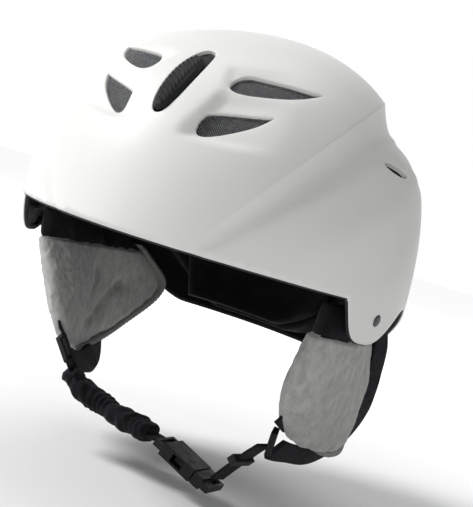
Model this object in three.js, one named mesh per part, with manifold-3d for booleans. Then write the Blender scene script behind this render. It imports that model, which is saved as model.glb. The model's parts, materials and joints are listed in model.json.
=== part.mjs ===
// Ski helmet with ear pads, vent control and chin strap.
// Millimetres. +Z is up and -Y is the front as worn; +X is the wearer's left.
// The origin is the middle of the head opening, at the height of the front brim.
import * as THREE from 'three';
import { mergeVertices } from 'three/addons/utils/BufferGeometryUtils.js';
import Module from 'manifold-3d';

const wasm = await Module();
wasm.setup();

// ---- driving dimensions -------------------------------------------------------------------
const HALF_WIDTH = 110.5;          // middle plane to the side of the dome
const FRONT_REACH = 127.6;       // dome centre to the front, in the dome's own tilted frame
const REAR_REACH = 138;
const DOME_RISE = 127.2;         // dome centre to the pole
const DOME_DROP = 102;           // the same egg below its widest line
const FRONT_POWER = 1.8;         // roundness of the plan: 2 is an ellipse, less is more pointed
const REAR_POWER = 1.97;
const SIDE_POWER = 2.45;         // how square it is from the side
const PLAN_SOFTNESS = 0.12;      // rounds the egg where it crosses its own middle planes
const TILT = THREE.MathUtils.degToRad(20);   // the pole leans forward
const SHELL = 2.5;               // shell thickness
const GAP = 0.4;                 // clearance between pieces that lie against each other
const FOAM = 22;                 // liner thickness
const PAD = 9;                   // comfort pad thickness
const BRIM_Z = 1.5;
const TAB_Z = -20.5;             // bottom of the ear tab
const NECK_Z = -45;
const WEB_THICK = 1.6;

const deg = THREE.MathUtils.degToRad;
const V = (x, y, z) => new THREE.Vector3(x, y, z);
const { smoothstep, lerp, clamp } = THREE.MathUtils;

// ---- finishes -----------------------------------------------------------------------------
function finish(color, roughness, metalness = 0) {
  return new THREE.MeshStandardMaterial({ color, roughness, metalness });
}
const FINISHES = {
  shell: () => finish(0xf2f2f0, 0.45),
  black_plastic: () => finish(0x17181a, 0.5),
  soft_grip: () => finish(0x1c1c1e, 0.8),
  mesh: () => finish(0x6b6d70, 0.6),
  foam: () => finish(0x202124, 0.95),
  lining: () => finish(0x26272b, 0.95),
  plush: () => finish(0xb4b4b2, 1),
  knit: () => finish(0x9b9c98, 1),
  webbing: () => finish(0x121317, 0.9),
  metal: () => finish(0x86888a, 0.4, 0.8),
  rubber: () => finish(0x141414, 0.85),
};

const helmet = new THREE.Group();

function addPiece(name, solid, look, parent = helmet) {
  const mesh = new THREE.Mesh(solid.isBufferGeometry ? solid : toGeometry(solid), FINISHES[look]());
  mesh.name = name;
  parent.add(mesh);
  return mesh;
}

// ---- solids -------------------------------------------------------------------------------
function toManifold(geometry) {
  const bare = geometry.clone();
  bare.deleteAttribute('normal');
  bare.deleteAttribute('uv');
  const merged = mergeVertices(bare, 1e-4);
  return new wasm.Manifold(new wasm.Mesh({
    numProp: 3,
    vertProperties: new Float32Array(merged.attributes.position.array),
    triVerts: new Uint32Array(merged.index.array),
  }));
}

function toGeometry(solid) {
  const mesh = solid.getMesh();
  const geometry = new THREE.BufferGeometry();
  const position = new Float32Array((mesh.vertProperties.length / mesh.numProp) * 3);
  for (let i = 0; i < position.length / 3; i += 1) {
    for (let k = 0; k < 3; k += 1) position[3 * i + k] = mesh.vertProperties[i * mesh.numProp + k];
  }
  geometry.setAttribute('position', new THREE.BufferAttribute(position, 3));
  geometry.setIndex(new THREE.BufferAttribute(new Uint32Array(mesh.triVerts), 1));
  geometry.computeVertexNormals();
  return geometry;
}

// A closed solid from points and triangles; it is turned the right way out if need be.
function solidFrom(points, triangles) {
  let volume = 0;
  for (const [a, b, c] of triangles) {
    volume += points[a].dot(V(0, 0, 0).crossVectors(points[b], points[c]));
  }
  const faces = volume < 0 ? triangles.map(([a, b, c]) => [a, c, b]) : triangles;
  const geometry = new THREE.BufferGeometry();
  geometry.setAttribute('position', new THREE.Float32BufferAttribute(points.flatMap((p) => p.toArray()), 3));
  geometry.setIndex(faces.flat());
  return toManifold(geometry);
}

// Stacked rings of equal length, closed at both ends by flat fans, or with the last ring joined to the first.
function loft(rings, joined = false) {
  const size = rings[0].length;
  const points = rings.flat();
  const triangles = [];
  const last = joined ? rings.length : rings.length - 1;
  for (let r = 0; r < last; r += 1) {
    for (let i = 0; i < size; i += 1) {
      const j = (i + 1) % size;
      const a = r * size + i;
      const b = r * size + j;
      const c = ((r + 1) % rings.length) * size + j;
      const d = ((r + 1) % rings.length) * size + i;
      triangles.push([a, b, c], [a, c, d]);
    }
  }
  if (!joined) {
    for (const [ring, flip] of [[0, true], [rings.length - 1, false]]) {
      const centre = points.length;
      const middle = V(0, 0, 0);
      rings[ring].forEach((p) => middle.add(p));
      points.push(middle.divideScalar(size));
      for (let i = 0; i < size; i += 1) {
        const a = ring * size + i;
        const b = ring * size + ((i + 1) % size);
        triangles.push(flip ? [centre, b, a] : [centre, a, b]);
      }
    }
  }
  return solidFrom(points, triangles);
}

// A block between two surfaces, each given as surface(u, v) with u and v from 0 to 1.
function block(top, bottom, across, along) {
  const points = [];
  const at = (side, i, j) => (side * (along + 1) + j) * (across + 1) + i;
  for (const surface of [top, bottom]) {
    for (let j = 0; j <= along; j += 1) {
      for (let i = 0; i <= across; i += 1) points.push(surface(i / across, j / along));
    }
  }
  const triangles = [];
  const quad = (a, b, c, d) => triangles.push([a, b, c], [a, c, d]);
  for (let j = 0; j < along; j += 1) {
    for (let i = 0; i < across; i += 1) {
      quad(at(0, i, j), at(0, i + 1, j), at(0, i + 1, j + 1), at(0, i, j + 1));
      quad(at(1, i, j + 1), at(1, i + 1, j + 1), at(1, i + 1, j), at(1, i, j));
    }
  }
  for (let i = 0; i < across; i += 1) {
    quad(at(1, i, 0), at(1, i + 1, 0), at(0, i + 1, 0), at(0, i, 0));
    quad(at(0, i, along), at(0, i + 1, along), at(1, i + 1, along), at(1, i, along));
  }
  for (let j = 0; j < along; j += 1) {
    quad(at(0, 0, j), at(0, 0, j + 1), at(1, 0, j + 1), at(1, 0, j));
    quad(at(1, across, j), at(1, across, j + 1), at(0, across, j + 1), at(0, across, j));
  }
  return solidFrom(points, triangles);
}

function lathe(profile, segments = 20) {
  return toManifold(new THREE.LatheGeometry(profile.map(([r, h]) => new THREE.Vector2(r, h)), segments));
}

function placed(solid, position, axis, spinAxis = null) {
  const up = axis.clone().normalize();
  const side = (spinAxis ?? (Math.abs(up.z) < 0.9 ? V(0, 0, 1) : V(1, 0, 0))).clone();
  const x = V(0, 0, 0).crossVectors(up, side).normalize();
  const z = V(0, 0, 0).crossVectors(x, up);
  const m = new THREE.Matrix4().makeBasis(x, up, z).setPosition(position);
  return solid.transform(m.elements);
}

function boxSolid(low, high) {
  const size = V(...high).sub(V(...low));
  const geometry = new THREE.BoxGeometry(size.x, size.y, size.z);
  const middle = V(...low).add(V(...high)).multiplyScalar(0.5);
  geometry.translate(middle.x, middle.y, middle.z);
  return toManifold(geometry);
}

// Flat strap along a smooth line; faces[i] is the direction its broad face looks at points[i].
function strap(points, faces, width, thick, steps, from = 0, to = 1) {
  const path = new THREE.CatmullRomCurve3(points.map((p) => V(...p)), false, 'centripetal');
  const rings = [];
  for (let s = 0; s <= steps; s += 1) {
    const t = lerp(from, to, s / steps);
    const centre = path.getPoint(t);
    const tangent = path.getTangent(t);
    const k = Math.min(Math.floor(t * (faces.length - 1)), faces.length - 2);
    const mix = t * (faces.length - 1) - k;
    const face = V(...faces[k]).lerp(V(...faces[k + 1]), mix);
    const across = V(0, 0, 0).crossVectors(tangent, face).normalize();
    const out = V(0, 0, 0).crossVectors(across, tangent).normalize();
    const w = (typeof width === 'function' ? width(t) : width) / 2;
    const h = (typeof thick === 'function' ? thick(t) : thick) / 2;
    rings.push([[-1, -1], [1, -1], [1, 1], [-1, 1]].map(([a, b]) => (
      centre.clone().addScaledVector(across, a * w).addScaledVector(out, b * h))));
  }
  return loft(rings);
}

// ---- the helmet's surface -----------------------------------------------------------------
// Directions are given in the dome's frame: azimuth from the front towards the wearer's left,
// and elevation towards the pole, both in degrees.
function softPower(q, power) {
  const raised = (x) => (x * x + PLAN_SOFTNESS ** 2) ** (power / 2) - PLAN_SOFTNESS ** power;
  return raised(q) / raised(1);
}

function domeRadius(d) {
  const reach = d.y < 0 ? FRONT_REACH : REAR_REACH;
  const rise = d.z < 0 ? DOME_DROP : DOME_RISE;
  const power = lerp(FRONT_POWER, REAR_POWER, smoothstep(d.y, -0.4, 0.4));
  let low = 60;
  let high = 200;
  for (let i = 0; i < 40; i += 1) {
    const r = (low + high) / 2;
    const plan = softPower((d.x * r) / HALF_WIDTH, power) + softPower((d.y * r) / reach, power);
    const value = Math.max(plan, 0) ** (SIDE_POWER / power) + (Math.abs(d.z * r) / rise) ** SIDE_POWER;
    if (value < 1) low = r;
    else high = r;
  }
  return low;
}

const toWorn = (p) => p.applyAxisAngle(V(1, 0, 0), TILT);

// Two planes through the side of the shell: the sharp crease and the softer ridge below it.
const CREASE = { through: V(37, -121, 3), normal: V(0.742, 0.306, -0.597) };
const RIDGE = { through: V(57, -108, 15), normal: V(0.639, 0.236, -0.732) };
const PANEL_FLARE = 4;
const CHANNEL_DEPTH = 6;

function relief(p) {
  const q = V(Math.abs(p.x), p.y, p.z);
  const below = q.clone().sub(CREASE.through).dot(CREASE.normal);
  const past = q.clone().sub(RIDGE.through).dot(RIDGE.normal);
  const along = smoothstep(p.y, -112, -20);
  let height = 0;
  if (below > 0 && past < 0) {
    const share = below / (below - past);
    height -= CHANNEL_DEPTH * along * Math.sin(Math.PI * share) * (1 - smoothstep(p.y, 70, 110));
  }
  const fade = smoothstep(p.y, -105, -60) * (1 - smoothstep(p.y, 80, 125));
  height += PANEL_FLARE * fade * smoothstep(past, 0, 24);
  return height;
}

function surfacePoint(azimuth, elevation, depth = 0) {
  const az = deg(azimuth);
  const el = deg(elevation);
  const inDome = V(Math.sin(az) * Math.cos(el), -Math.cos(az) * Math.cos(el), Math.sin(el));
  const radius = domeRadius(inDome);
  const outward = toWorn(inDome.clone());
  const base = outward.clone().multiplyScalar(radius);
  const carved = relief(base) * clamp(1 - depth / (SHELL + FOAM), 0, 1);
  return outward.multiplyScalar(radius + carved - depth);
}

function surfaceNormal(azimuth, elevation) {
  const here = surfacePoint(azimuth, elevation);
  const east = surfacePoint(azimuth + 0.5, elevation).sub(here);
  const north = surfacePoint(azimuth, elevation + 0.5).sub(here);
  return east.cross(north).normalize();
}

// Height of the shell's lower edge: level brim, ear tab, arch behind the ear, low neck.
function edgeHeight(azimuth) {
  const a = Math.abs(azimuth);
  const tab = smoothstep(a, 63.5, 71) * (1 - smoothstep(a, 80, 97));
  const neck = smoothstep(a, 100, 146);
  return BRIM_Z + (TAB_Z - BRIM_Z) * tab + (NECK_Z - BRIM_Z) * neck;
}

// Lower edge of the foam liner: it doesn't follow the ear tab.
function foamEdgeHeight(azimuth) {
  const neck = smoothstep(Math.abs(azimuth), 118, 162);
  return BRIM_Z + 5 + (NECK_Z - BRIM_Z) * neck;
}

function elevationAt(azimuth, height, depth) {
  let low = -75;
  let high = 60;
  for (let i = 0; i < 30; i += 1) {
    const middle = (low + high) / 2;
    if (surfacePoint(azimuth, middle, depth).z < height) low = middle;
    else high = middle;
  }
  return low;
}

function azimuths(spans) {
  const half = [];
  for (const [from, to, count] of spans) {
    for (let i = 0; i < count; i += 1) half.push(lerp(from, to, i / count));
  }
  return [...half, 180, ...half.slice(1).reverse().map((a) => -a)];
}
const EDGE_COLUMNS = azimuths([[0, 60, 8], [60, 84, 8], [84, 96, 3], [96, 180, 9]]);
const LINER_COLUMNS = azimuths([[0, 60, 8], [60, 96, 5], [96, 180, 9]]);

// The closed layer of the dome between two depths, open at the bottom.
function domeLayer(columns, rows, outerDepth, innerDepth, outerEdge, innerEdge) {
  const points = [];
  const triangles = [];
  const n = columns.length;
  const start = [];
  for (const [depth, edge] of [[outerDepth, outerEdge], [innerDepth, innerEdge]]) {
    start.push(points.length);
    const feet = columns.map((az) => elevationAt(az, edge(az), depth));
    for (let r = 0; r < rows; r += 1) {
      const rise = r / rows;
      columns.forEach((az, i) => points.push(surfacePoint(az, lerp(feet[i], 90, rise), depth)));
    }
    points.push(surfacePoint(0, 90, depth));
  }
  for (let layer = 0; layer < 2; layer += 1) {
    const s = start[layer];
    for (let i = 0; i < n; i += 1) {
      const j = (i + 1) % n;
      for (let r = 0; r < rows; r += 1) {
        const [a, b] = [s + r * n + i, s + r * n + j];
        const top = r === rows - 1;
        const c = top ? s + rows * n : s + (r + 1) * n + j;
        const d = s + (r + 1) * n + i;
        const faces = top ? [[a, b, c]] : [[a, b, c], [a, c, d]];
        for (const f of faces) triangles.push(layer ? [f[0], f[2], f[1]] : f);
      }
    }
  }
  for (let i = 0; i < n; i += 1) {
    const j = (i + 1) % n;
    const [a, b, c, d] = [start[0] + i, start[0] + j, start[1] + j, start[1] + i];
    triangles.push([b, a, d], [b, d, c]);
  }
  return solidFrom(points, triangles);
}

// A patch of that layer between two azimuths and two elevations.
function patch([az0, az1], [el0, el1], outerDepth, innerDepth, across, along) {
  const layer = (depth) => (u, v) => surfacePoint(lerp(az0, az1, u), lerp(el0, el1, v), depth);
  return block(layer(outerDepth), layer(innerDepth), across, along);
}

// A patch whose lower edge follows a height.
function bandPatch([az0, az1], edge, rise, outerDepth, innerDepth, across, along) {
  const layer = (depth) => (u, v) => {
    const az = lerp(az0, az1, u);
    const foot = elevationAt(az, edge(az), depth);
    return surfacePoint(az, foot + rise * v, depth);
  };
  return block(layer(outerDepth), layer(innerDepth), across, along);
}

// A tapering plug through the dome whose outline is a list of [azimuth, elevation].
function plug(outline, outerDepth, innerDepth) {
  return loft([outerDepth, innerDepth].map((depth) => outline.map(([az, el]) => surfacePoint(az, el, depth))));
}

// Outlines are drawn on a plane that touches the dome, then read back as directions.
function scaledOutline(outline, factor) {
  const middle = outline.reduce((m, [a, e]) => [m[0] + a / outline.length, m[1] + e / outline.length], [0, 0]);
  return outline.map(([a, e]) => [middle[0] + (a - middle[0]) * factor, middle[1] + (e - middle[1]) * factor]);
}

function mirrored(outline) {
  return outline.map(([a, e]) => [-a, e]).reverse();
}

// ---- vents --------------------------------------------------------------------------------
// Each vent is blunt towards the middle and runs to a point at the side.
const VENTS = {
  lower: [[13.2, 45.8], [13.2, 48.4], [14.8, 50.9], [18.5, 51.9], [27, 52.7], [38.7, 52.7],
    [32.5, 50], [25.1, 47.7], [18, 45.6], [14.6, 45]],
  upper: [[20, 59.8], [21.8, 62.4], [25.9, 64.4], [32, 64.8], [46, 63.6], [65.4, 60],
    [50, 58.6], [36, 58.3], [26, 57.9], [21.6, 58.4]],
};
const MESH_TOP = SHELL + GAP;
const MESH_THICK = 1.2;
const SHUTTER_TOP = MESH_TOP + MESH_THICK + 1.2;
const SHUTTER_THICK = 1.2;
const POCKET_DEPTH = SHUTTER_TOP + SHUTTER_THICK + 2.2;
const vents = [];
for (const [row, outline] of Object.entries(VENTS)) {
  vents.push({ side: 'left', row, outline });
  vents.push({ side: 'right', row, outline: mirrored(outline) });
}

// ---- vent control -------------------------------------------------------------------------
// The slider runs on an arc about an axis across the helmet.
const SLIDE_AXIS = V(0, -17, 10);
const SLIDER_LOW = 48.4;         // elevations of its two ends
const SLIDER_HIGH = 64.8;
const SLIDER_HALF = 5.6;
const SLIDER_TOP = -1.6;         // stands proud of the dome
const SLIDER_BASE = 1.3;
const RECESS_FLOOR = 1.9;        // depth of the recess in the shell
const TRAVEL = 5;                // degrees that the recess is longer than the slider

function leafOutline(low, high, half, count) {
  const middle = (low + high) / 2;
  const outline = [];
  for (let i = 0; i < count; i += 1) {
    const t = (i / count) * 2 * Math.PI;
    const el = middle + ((high - low) / 2) * Math.sin(t);
    const width = half * Math.sign(Math.cos(t)) * Math.abs(Math.cos(t)) ** 0.85;
    const across = surfacePoint(0, el).length() * Math.cos(deg(el));
    outline.push([THREE.MathUtils.radToDeg(Math.atan2(width, across)), el]);
  }
  return outline;
}

const sliderOutline = leafOutline(SLIDER_LOW, SLIDER_HIGH, SLIDER_HALF, 16);
const recessOutline = leafOutline(SLIDER_LOW - 1.5, SLIDER_HIGH + TRAVEL + 1.7, SLIDER_HALF + 1.5, 18);
const slotOutline = [[-3.2, 53], [3.2, 53], [4, 67], [-4, 67]];
const stemOutline = [[-2, 54], [2, 54], [2.3, 60], [-2.3, 60]];
const stemHole = [[-2.6, 53.2], [2.6, 53.2], [2.9, 60.8], [-2.9, 60.8]];

function makeVentSlider() {
  let slider = plug(sliderOutline, SLIDER_TOP + 0.9, SLIDER_BASE);
  const ribs = 8;
  for (let i = 0; i < ribs; i += 1) {
    const share = (i + 0.75) / (ribs + 0.5);
    const el = lerp(SLIDER_LOW, SLIDER_HIGH, share);
    const half = 2.9 * Math.sin(Math.PI * share) ** 0.8 + 0.6;
    const rib = [[-half, el], [half, el], [half, el + 1.5], [-half, el + 1.5]];
    slider = slider.add(plug(rib, SLIDER_TOP, SLIDER_TOP + 2.5));
  }
  return slider.add(plug(stemOutline, SLIDER_BASE - 0.4, SHUTTER_TOP + SHUTTER_THICK + 0.4));
}

function makeShutter() {
  let plate = patch([-62, 62], [43.5, 69], SHUTTER_TOP, SHUTTER_TOP + SHUTTER_THICK, 14, 4);
  for (const { outline } of vents) {
    plate = plate.subtract(plug(scaledOutline(outline, 1), SHUTTER_TOP - 3, SHUTTER_TOP + 4));
  }
  return plate.subtract(plug(stemHole, SHUTTER_TOP - 3, SHUTTER_TOP + 4));
}

// ---- shell, trim, liner and meshes --------------------------------------------------------
const RIVET = { azimuth: 76.4, elevation: 1.5 };
const RIVET_SHAFT = 1.6;

function rivetFrame(side) {
  const azimuth = RIVET.azimuth * side;
  const at = surfacePoint(azimuth, RIVET.elevation);
  const out = surfaceNormal(azimuth, RIVET.elevation);
  if (out.dot(at) < 0) out.negate();
  return { at, out };
}

function makeShell() {
  let shell = domeLayer(EDGE_COLUMNS, 15, 0, SHELL, edgeHeight, edgeHeight);
  for (const { outline } of vents) shell = shell.subtract(plug(outline, -6, SHELL + 4));
  shell = shell.subtract(plug(recessOutline, -5, RECESS_FLOOR));
  shell = shell.subtract(plug(slotOutline, -5, SHELL + 4));
  for (const side of [1, -1]) {
    const { at, out } = rivetFrame(side);
    const hole = lathe([[0, -8], [RIVET_SHAFT + GAP, -8], [RIVET_SHAFT + GAP, 4], [0, 4]], 12);
    shell = shell.subtract(placed(hole, at, out));
  }
  return shell;
}

// Soft trim pushed onto the lower edge, a little below it.
function makeTrim(shell) {
  const HALF = 1.3;
  const rings = EDGE_COLUMNS.map((az) => {
    const el = elevationAt(az, edgeHeight(az) - HALF - GAP, SHELL / 2);
    const centre = surfacePoint(az, el, SHELL / 2);
    const out = V(centre.x, centre.y, 0).normalize();
    const up = V(0, 0, 1);
    return [[-1.6, -1], [1.6, -1], [1.6, 1], [-1.6, 1]].map(([a, b]) => (
      centre.clone().addScaledVector(out, a).addScaledVector(up, b * HALF)));
  });
  let trim = loft(rings, true);
  for (const step of [[0, 0, 0], [0, 0, -GAP], [0, GAP, 0], [0, -GAP, 0]]) trim = trim.subtract(shell.translate(step));
  return trim;
}

const LINER_TOP = SHELL + 2.3;       // the liner floats a little under the shell
const LINER_BOTTOM = SHELL + FOAM;

function makeLiner() {
  let liner = domeLayer(LINER_COLUMNS, 13, LINER_TOP, LINER_BOTTOM, foamEdgeHeight, foamEdgeHeight);
  const pocket = patch([-82, 82], [38.5, 79], LINER_TOP - 3, POCKET_DEPTH, 14, 5);
  liner = liner.subtract(pocket);
  for (const { outline } of vents) {
    liner = liner.subtract(plug(scaledOutline(outline, 0.8), 0, LINER_BOTTOM + 5));
  }
  return liner;
}

function makeVentMesh(outline) {
  const wide = plug(scaledOutline(outline, 1.12), MESH_TOP - 2, MESH_TOP + 6);
  const az = outline.map((p) => p[0]);
  const el = outline.map((p) => p[1]);
  const sheet = patch([Math.min(...az) - 4, Math.max(...az) + 4], [Math.min(...el) - 3, Math.max(...el) + 3],
    MESH_TOP, MESH_TOP + MESH_THICK, 6, 2);
  return sheet.intersect(wide);
}

const shell = makeShell();
addPiece('outer_shell', shell, 'shell');
addPiece('shell_edge_trim', makeTrim(shell), 'rubber');
addPiece('eps_liner', makeLiner(), 'foam');
for (const { side, row, outline } of vents) {
  addPiece(`vent_mesh_${side}_${row}`, makeVentMesh(outline), 'mesh');
}
addPiece('vent_slider', makeVentSlider(), 'soft_grip');
addPiece('vent_shutter', makeShutter(), 'black_plastic');

// ---- comfort lining -----------------------------------------------------------------------
const PAD_TOP = LINER_BOTTOM + 2.7;
const PAD_BOTTOM = PAD_TOP + PAD;
const padFoot = (az) => foamEdgeHeight(az) + 3;
addPiece('brow_pad', bandPatch([-58, 58], padFoot, 20, PAD_TOP, PAD_BOTTOM, 12, 2), 'lining');
addPiece('neck_pad', bandPatch([144, 216], padFoot, 22, PAD_TOP, PAD_BOTTOM, 8, 2), 'lining');
for (const [name, side] of [['left', 1], ['right', -1]]) {
  addPiece(`side_pad_${name}`,
    bandPatch([64 * side, 104 * side], padFoot, 24, PAD_TOP, PAD_BOTTOM, 5, 2), 'lining');
}
addPiece('crown_pad', block(
  (u, v) => crownPoint(u, v, PAD_TOP),
  (u, v) => crownPoint(u, v, PAD_BOTTOM), 6, 8), 'lining');

// The crown pad lies over the top of the head, behind the vents.
function crownPoint(u, v, depth) {
  const x = lerp(-26, 26, u);
  const y = lerp(-20, 62, v);
  const seek = V(x, y, 118).applyAxisAngle(V(1, 0, 0), -TILT);
  const azimuth = THREE.MathUtils.radToDeg(Math.atan2(seek.x, -seek.y));
  const elevation = THREE.MathUtils.radToDeg(Math.atan2(seek.z, Math.hypot(seek.x, seek.y)));
  return surfacePoint(azimuth, elevation, depth);
}

// ---- ear pads -----------------------------------------------------------------------------
// Half-width of the shell at the height of the pads, for a distance forward or back.
function sideReach(y) {
  const reach = y < 0 ? 128 : 125;
  return HALF_WIDTH * Math.max(1 - Math.abs(y / reach) ** 1.9, 0.02) ** (1 / 1.9);
}

const EAR_TOP_Z = -1;
const EAR_OUTLINE = [[-43, EAR_TOP_Z], [-45, -20], [-43, -46], [-34, -69], [-15, -86], [8, -91], [30, -88],
  [52, -77], [70, -60], [78, -46], [75, -35], [58, -17], [40, -7], [20, EAR_TOP_Z], [-15, EAR_TOP_Z]];
const PLUSH_OUTER = 4.8;         // outer layer of the pad
const STRAP_SPACE = 2.6;         // sleeve that the front strap runs in
const PLUSH_INNER = 7;
const EAR_INSET = 8.5;           // shell's outside to the pad's outside

function earFace(y, z, inset) {
  const lean = lerp(0.27, 0, smoothstep(y, -45, 30)) * Math.max(0, -20 - z);
  const bulge = 6 * smoothstep(y, -10, 40) * smoothstep(-z, 18, 50) * (1 - smoothstep(y, 55, 84));
  return sideReach(y) - EAR_INSET - lean + bulge - inset;
}

// A plate with the ear outline, between two insets from the outer face, its rim slightly rounded.
function earPlate(side, outerInset, innerInset, bevel) {
  const [cy, cz] = [18, -46];
  const rings = [];
  const ring = (scale, inset) => EAR_OUTLINE.map(([y, z]) => {
    const [py, pz] = [cy + (y - cy) * scale, cz + (z - cz) * scale];
    return V(side * earFace(py, pz, inset), py, pz);
  });
  rings.push(ring(0.45, innerInset), ring(0.86, innerInset));
  rings.push(ring(1, innerInset - bevel), ring(1, outerInset + bevel));
  rings.push(ring(0.86, outerInset), ring(0.45, outerInset));
  return loft(rings);
}

const KNIT_THICK = 3;
function makeKnit(side) {
  const path = EAR_OUTLINE.slice(5, 11);
  const spine = new THREE.CatmullRomCurve3(path.map(([y, z]) => V(0, y, z)));
  const rings = [];
  const steps = 12;
  for (let s = 0; s <= steps; s += 1) {
    const p = spine.getPoint(s / steps);
    const t = spine.getTangent(s / steps);
    const out = V(0, -t.z, t.y).normalize();
    if (out.y * (p.y - 18) + out.z * (p.z + 46) < 0) out.negate();
    const corner = (lift, inset) => {
      const q = p.clone().addScaledVector(out, lift);
      return V(side * earFace(p.y, p.z, inset), q.y, q.z);
    };
    const [near, far] = [GAP + 0.6, GAP + 0.6 + KNIT_THICK];
    const [outer, inner] = [1, PLUSH_OUTER + STRAP_SPACE + PLUSH_INNER - 4];
    rings.push([corner(near, outer), corner(far, outer), corner(far, inner), corner(near, inner)]);
  }
  return loft(rings);
}

function strapSleeve(side) {
  const face = (inset, growth) => (u, v) => {
    const y = lerp(-33, -13, u);
    const z = lerp(-18, -92, v);
    return V(side * earFace(y, z, inset + growth * v * v), y, z);
  };
  return block(face(PLUSH_OUTER - 0.3, -1), face(PLUSH_OUTER + STRAP_SPACE + 0.3, 3.5), 2, 8);
}

function makeEarCushion(side) {
  const inset = PLUSH_OUTER + STRAP_SPACE;
  return earPlate(side, inset, inset + PLUSH_INNER, 2.5).subtract(strapSleeve(side));
}

function makeEarOuter(side) {
  const layer = earPlate(side, 0, PLUSH_OUTER, 2).subtract(strapSleeve(side));
  const low = side > 0 ? [84, -38, -24] : [-115, -38, -24];
  const high = side > 0 ? [115, -13, 5] : [-84, -13, 5];
  return layer.subtract(boxSolid(low, high));
}

// Webbing from the rivet, down through the sleeve between the two plush layers, to the divider.
function makeFrontStrap(side) {
  const face = (inset) => (u, v) => {
    const y = lerp(-30, -16, u);
    const z = lerp(-21, -71.5, v);
    return V(side * earFace(y, z, inset), y, z);
  };
  const middle = PLUSH_OUTER + STRAP_SPACE / 2;
  const inSleeve = block(face(middle - WEB_THICK / 2), face(middle + WEB_THICK / 2), 2, 6);
  const upper = strap([[103.4 * side, -24, -11.5], [99 * side, -23.5, -16], [93 * side, -23, -21.6]],
    [[side, 0, 0], [side, 0, 0]], 14, WEB_THICK, 3);
  const lower = strap([[83.1 * side, -22.5, -69.5], [81.2 * side, -25.6, -73.6], [79.4 * side, -28.8, -76.2]],
    [[side, -0.4, 0], [side, -0.5, 0]], 13, WEB_THICK, 3);
  return inSleeve.add(upper).add(lower);
}

function makeRearStrap(side) {
  const route = [[98, 47, -5.5], [100, 51, -28], [101, 56, -52], [99.5, 60, -72], [96, 50, -90],
    [89, 27, -99.5], [82, 4, -99.5], [78.2, -13, -93.5]];
  const faces = [[1, 0, 0], [1, 0, 0], [1, 0.2, 0], [1, 0.4, -0.4], [0.5, 0.3, -1], [0.2, 0, -1], [0.4, -0.2, -1],
    [0.8, -0.3, -0.5]];
  return strap(route.map(([x, y, z]) => [x * side, y, z]), faces.map(([x, y, z]) => [x * side, y, z]),
    14, WEB_THICK, 26);
}

// Flat moulded divider where the front and rear webbing meet the chin strap.
const DIVIDER_AT = [77, -25.6, -87.6];
function makeDivider(side) {
  let plate = boxSolid([-8.5, -3, -1.7], [8.5, 3, 1.7]);
  plate = plate.subtract(boxSolid([-7, -1.1, -3], [7, 1.1, 3]));
  const along = V(0.15 * side, -0.9, -0.55).normalize();
  const face = V(side, -0.1, -0.25).normalize();
  const across = V(0, 0, 0).crossVectors(along, face).normalize();
  const flat = V(0, 0, 0).crossVectors(across, along).normalize();
  const m = new THREE.Matrix4().makeBasis(across, flat.clone().cross(across), flat);
  m.setPosition(V(DIVIDER_AT[0] * side, DIVIDER_AT[1], DIVIDER_AT[2]));
  return plate.transform(m.elements);
}

// Everything of one ear pad; the wearer's right one hangs a little inwards.
const EAR_PIVOT = V(96, 18, -20);
const HANG = { left: 0, right: 12 };
const snapButton = lathe([[0, 0], [4.5, 0], [4.5, 1.2], [3.4, 2.1], [0, 2.1]], 14);

for (const [name, side] of [['left', 1], ['right', -1]]) {
  const ear = new THREE.Group();
  const pivot = V(EAR_PIVOT.x * side, EAR_PIVOT.y, EAR_PIVOT.z);
  const about = new THREE.Group();
  about.position.copy(pivot);
  about.rotation.y = deg(-HANG[name]);
  ear.position.copy(pivot.clone().negate());
  about.add(ear);
  helmet.add(about);
  addPiece(`ear_cushion_${name}`, makeEarCushion(side), 'plush', ear);
  addPiece(`ear_outer_layer_${name}`, makeEarOuter(side), 'plush', ear);
  addPiece(`ear_knit_edge_${name}`, makeKnit(side), 'knit', ear);
  addPiece(`front_strap_${name}`, makeFrontStrap(side), 'webbing', ear);
  addPiece(`rear_strap_${name}`, makeRearStrap(side), 'webbing', ear);
  addPiece(`strap_divider_${name}`, makeDivider(side), 'black_plastic', ear);
  for (const [place, y] of [['front', 0], ['rear', 34]]) {
    const at = V(side * (earFace(y, -9, 0) + GAP + 0.6), y, -9);
    addPiece(`ear_snap_${place}_${name}`, placed(snapButton, at, V(side, 0, 0)), 'black_plastic', ear);
  }
  addPiece(`rear_anchor_${name}`, boxSolid(
    [side > 0 ? 97.4 : -100.8, 42, -3.6], [side > 0 ? 100.8 : -97.4, 54, 2]), 'black_plastic');
  const { at, out } = rivetFrame(side);
  const rivet = lathe([[0, -6.4], [3.1, -6.4], [3.1, -5.4], [RIVET_SHAFT, -5.2], [RIVET_SHAFT, 0.5],
    [3.4, 0.5], [3.4, 1.1], [2.2, 1.8], [0, 2]], 16);
  addPiece(`strap_rivet_${name}`, placed(rivet, at, out), 'metal');
}

// ---- chin strap and buckle ----------------------------------------------------------------
const BUCKLE_AT = V(18, -19, -114);
const BUCKLE_ALONG = V(36, -3, -12).normalize();
const BUCKLE_UP = V(0, 0, 1).addScaledVector(BUCKLE_ALONG, -BUCKLE_ALONG.z).normalize();
const BUCKLE_ACROSS = V(0, 0, 0).crossVectors(BUCKLE_UP, BUCKLE_ALONG);
const buckle = new THREE.Group();
buckle.position.copy(BUCKLE_AT);
buckle.setRotationFromMatrix(new THREE.Matrix4().makeBasis(BUCKLE_ALONG, BUCKLE_ACROSS, BUCKLE_UP));
helmet.add(buckle);

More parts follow.
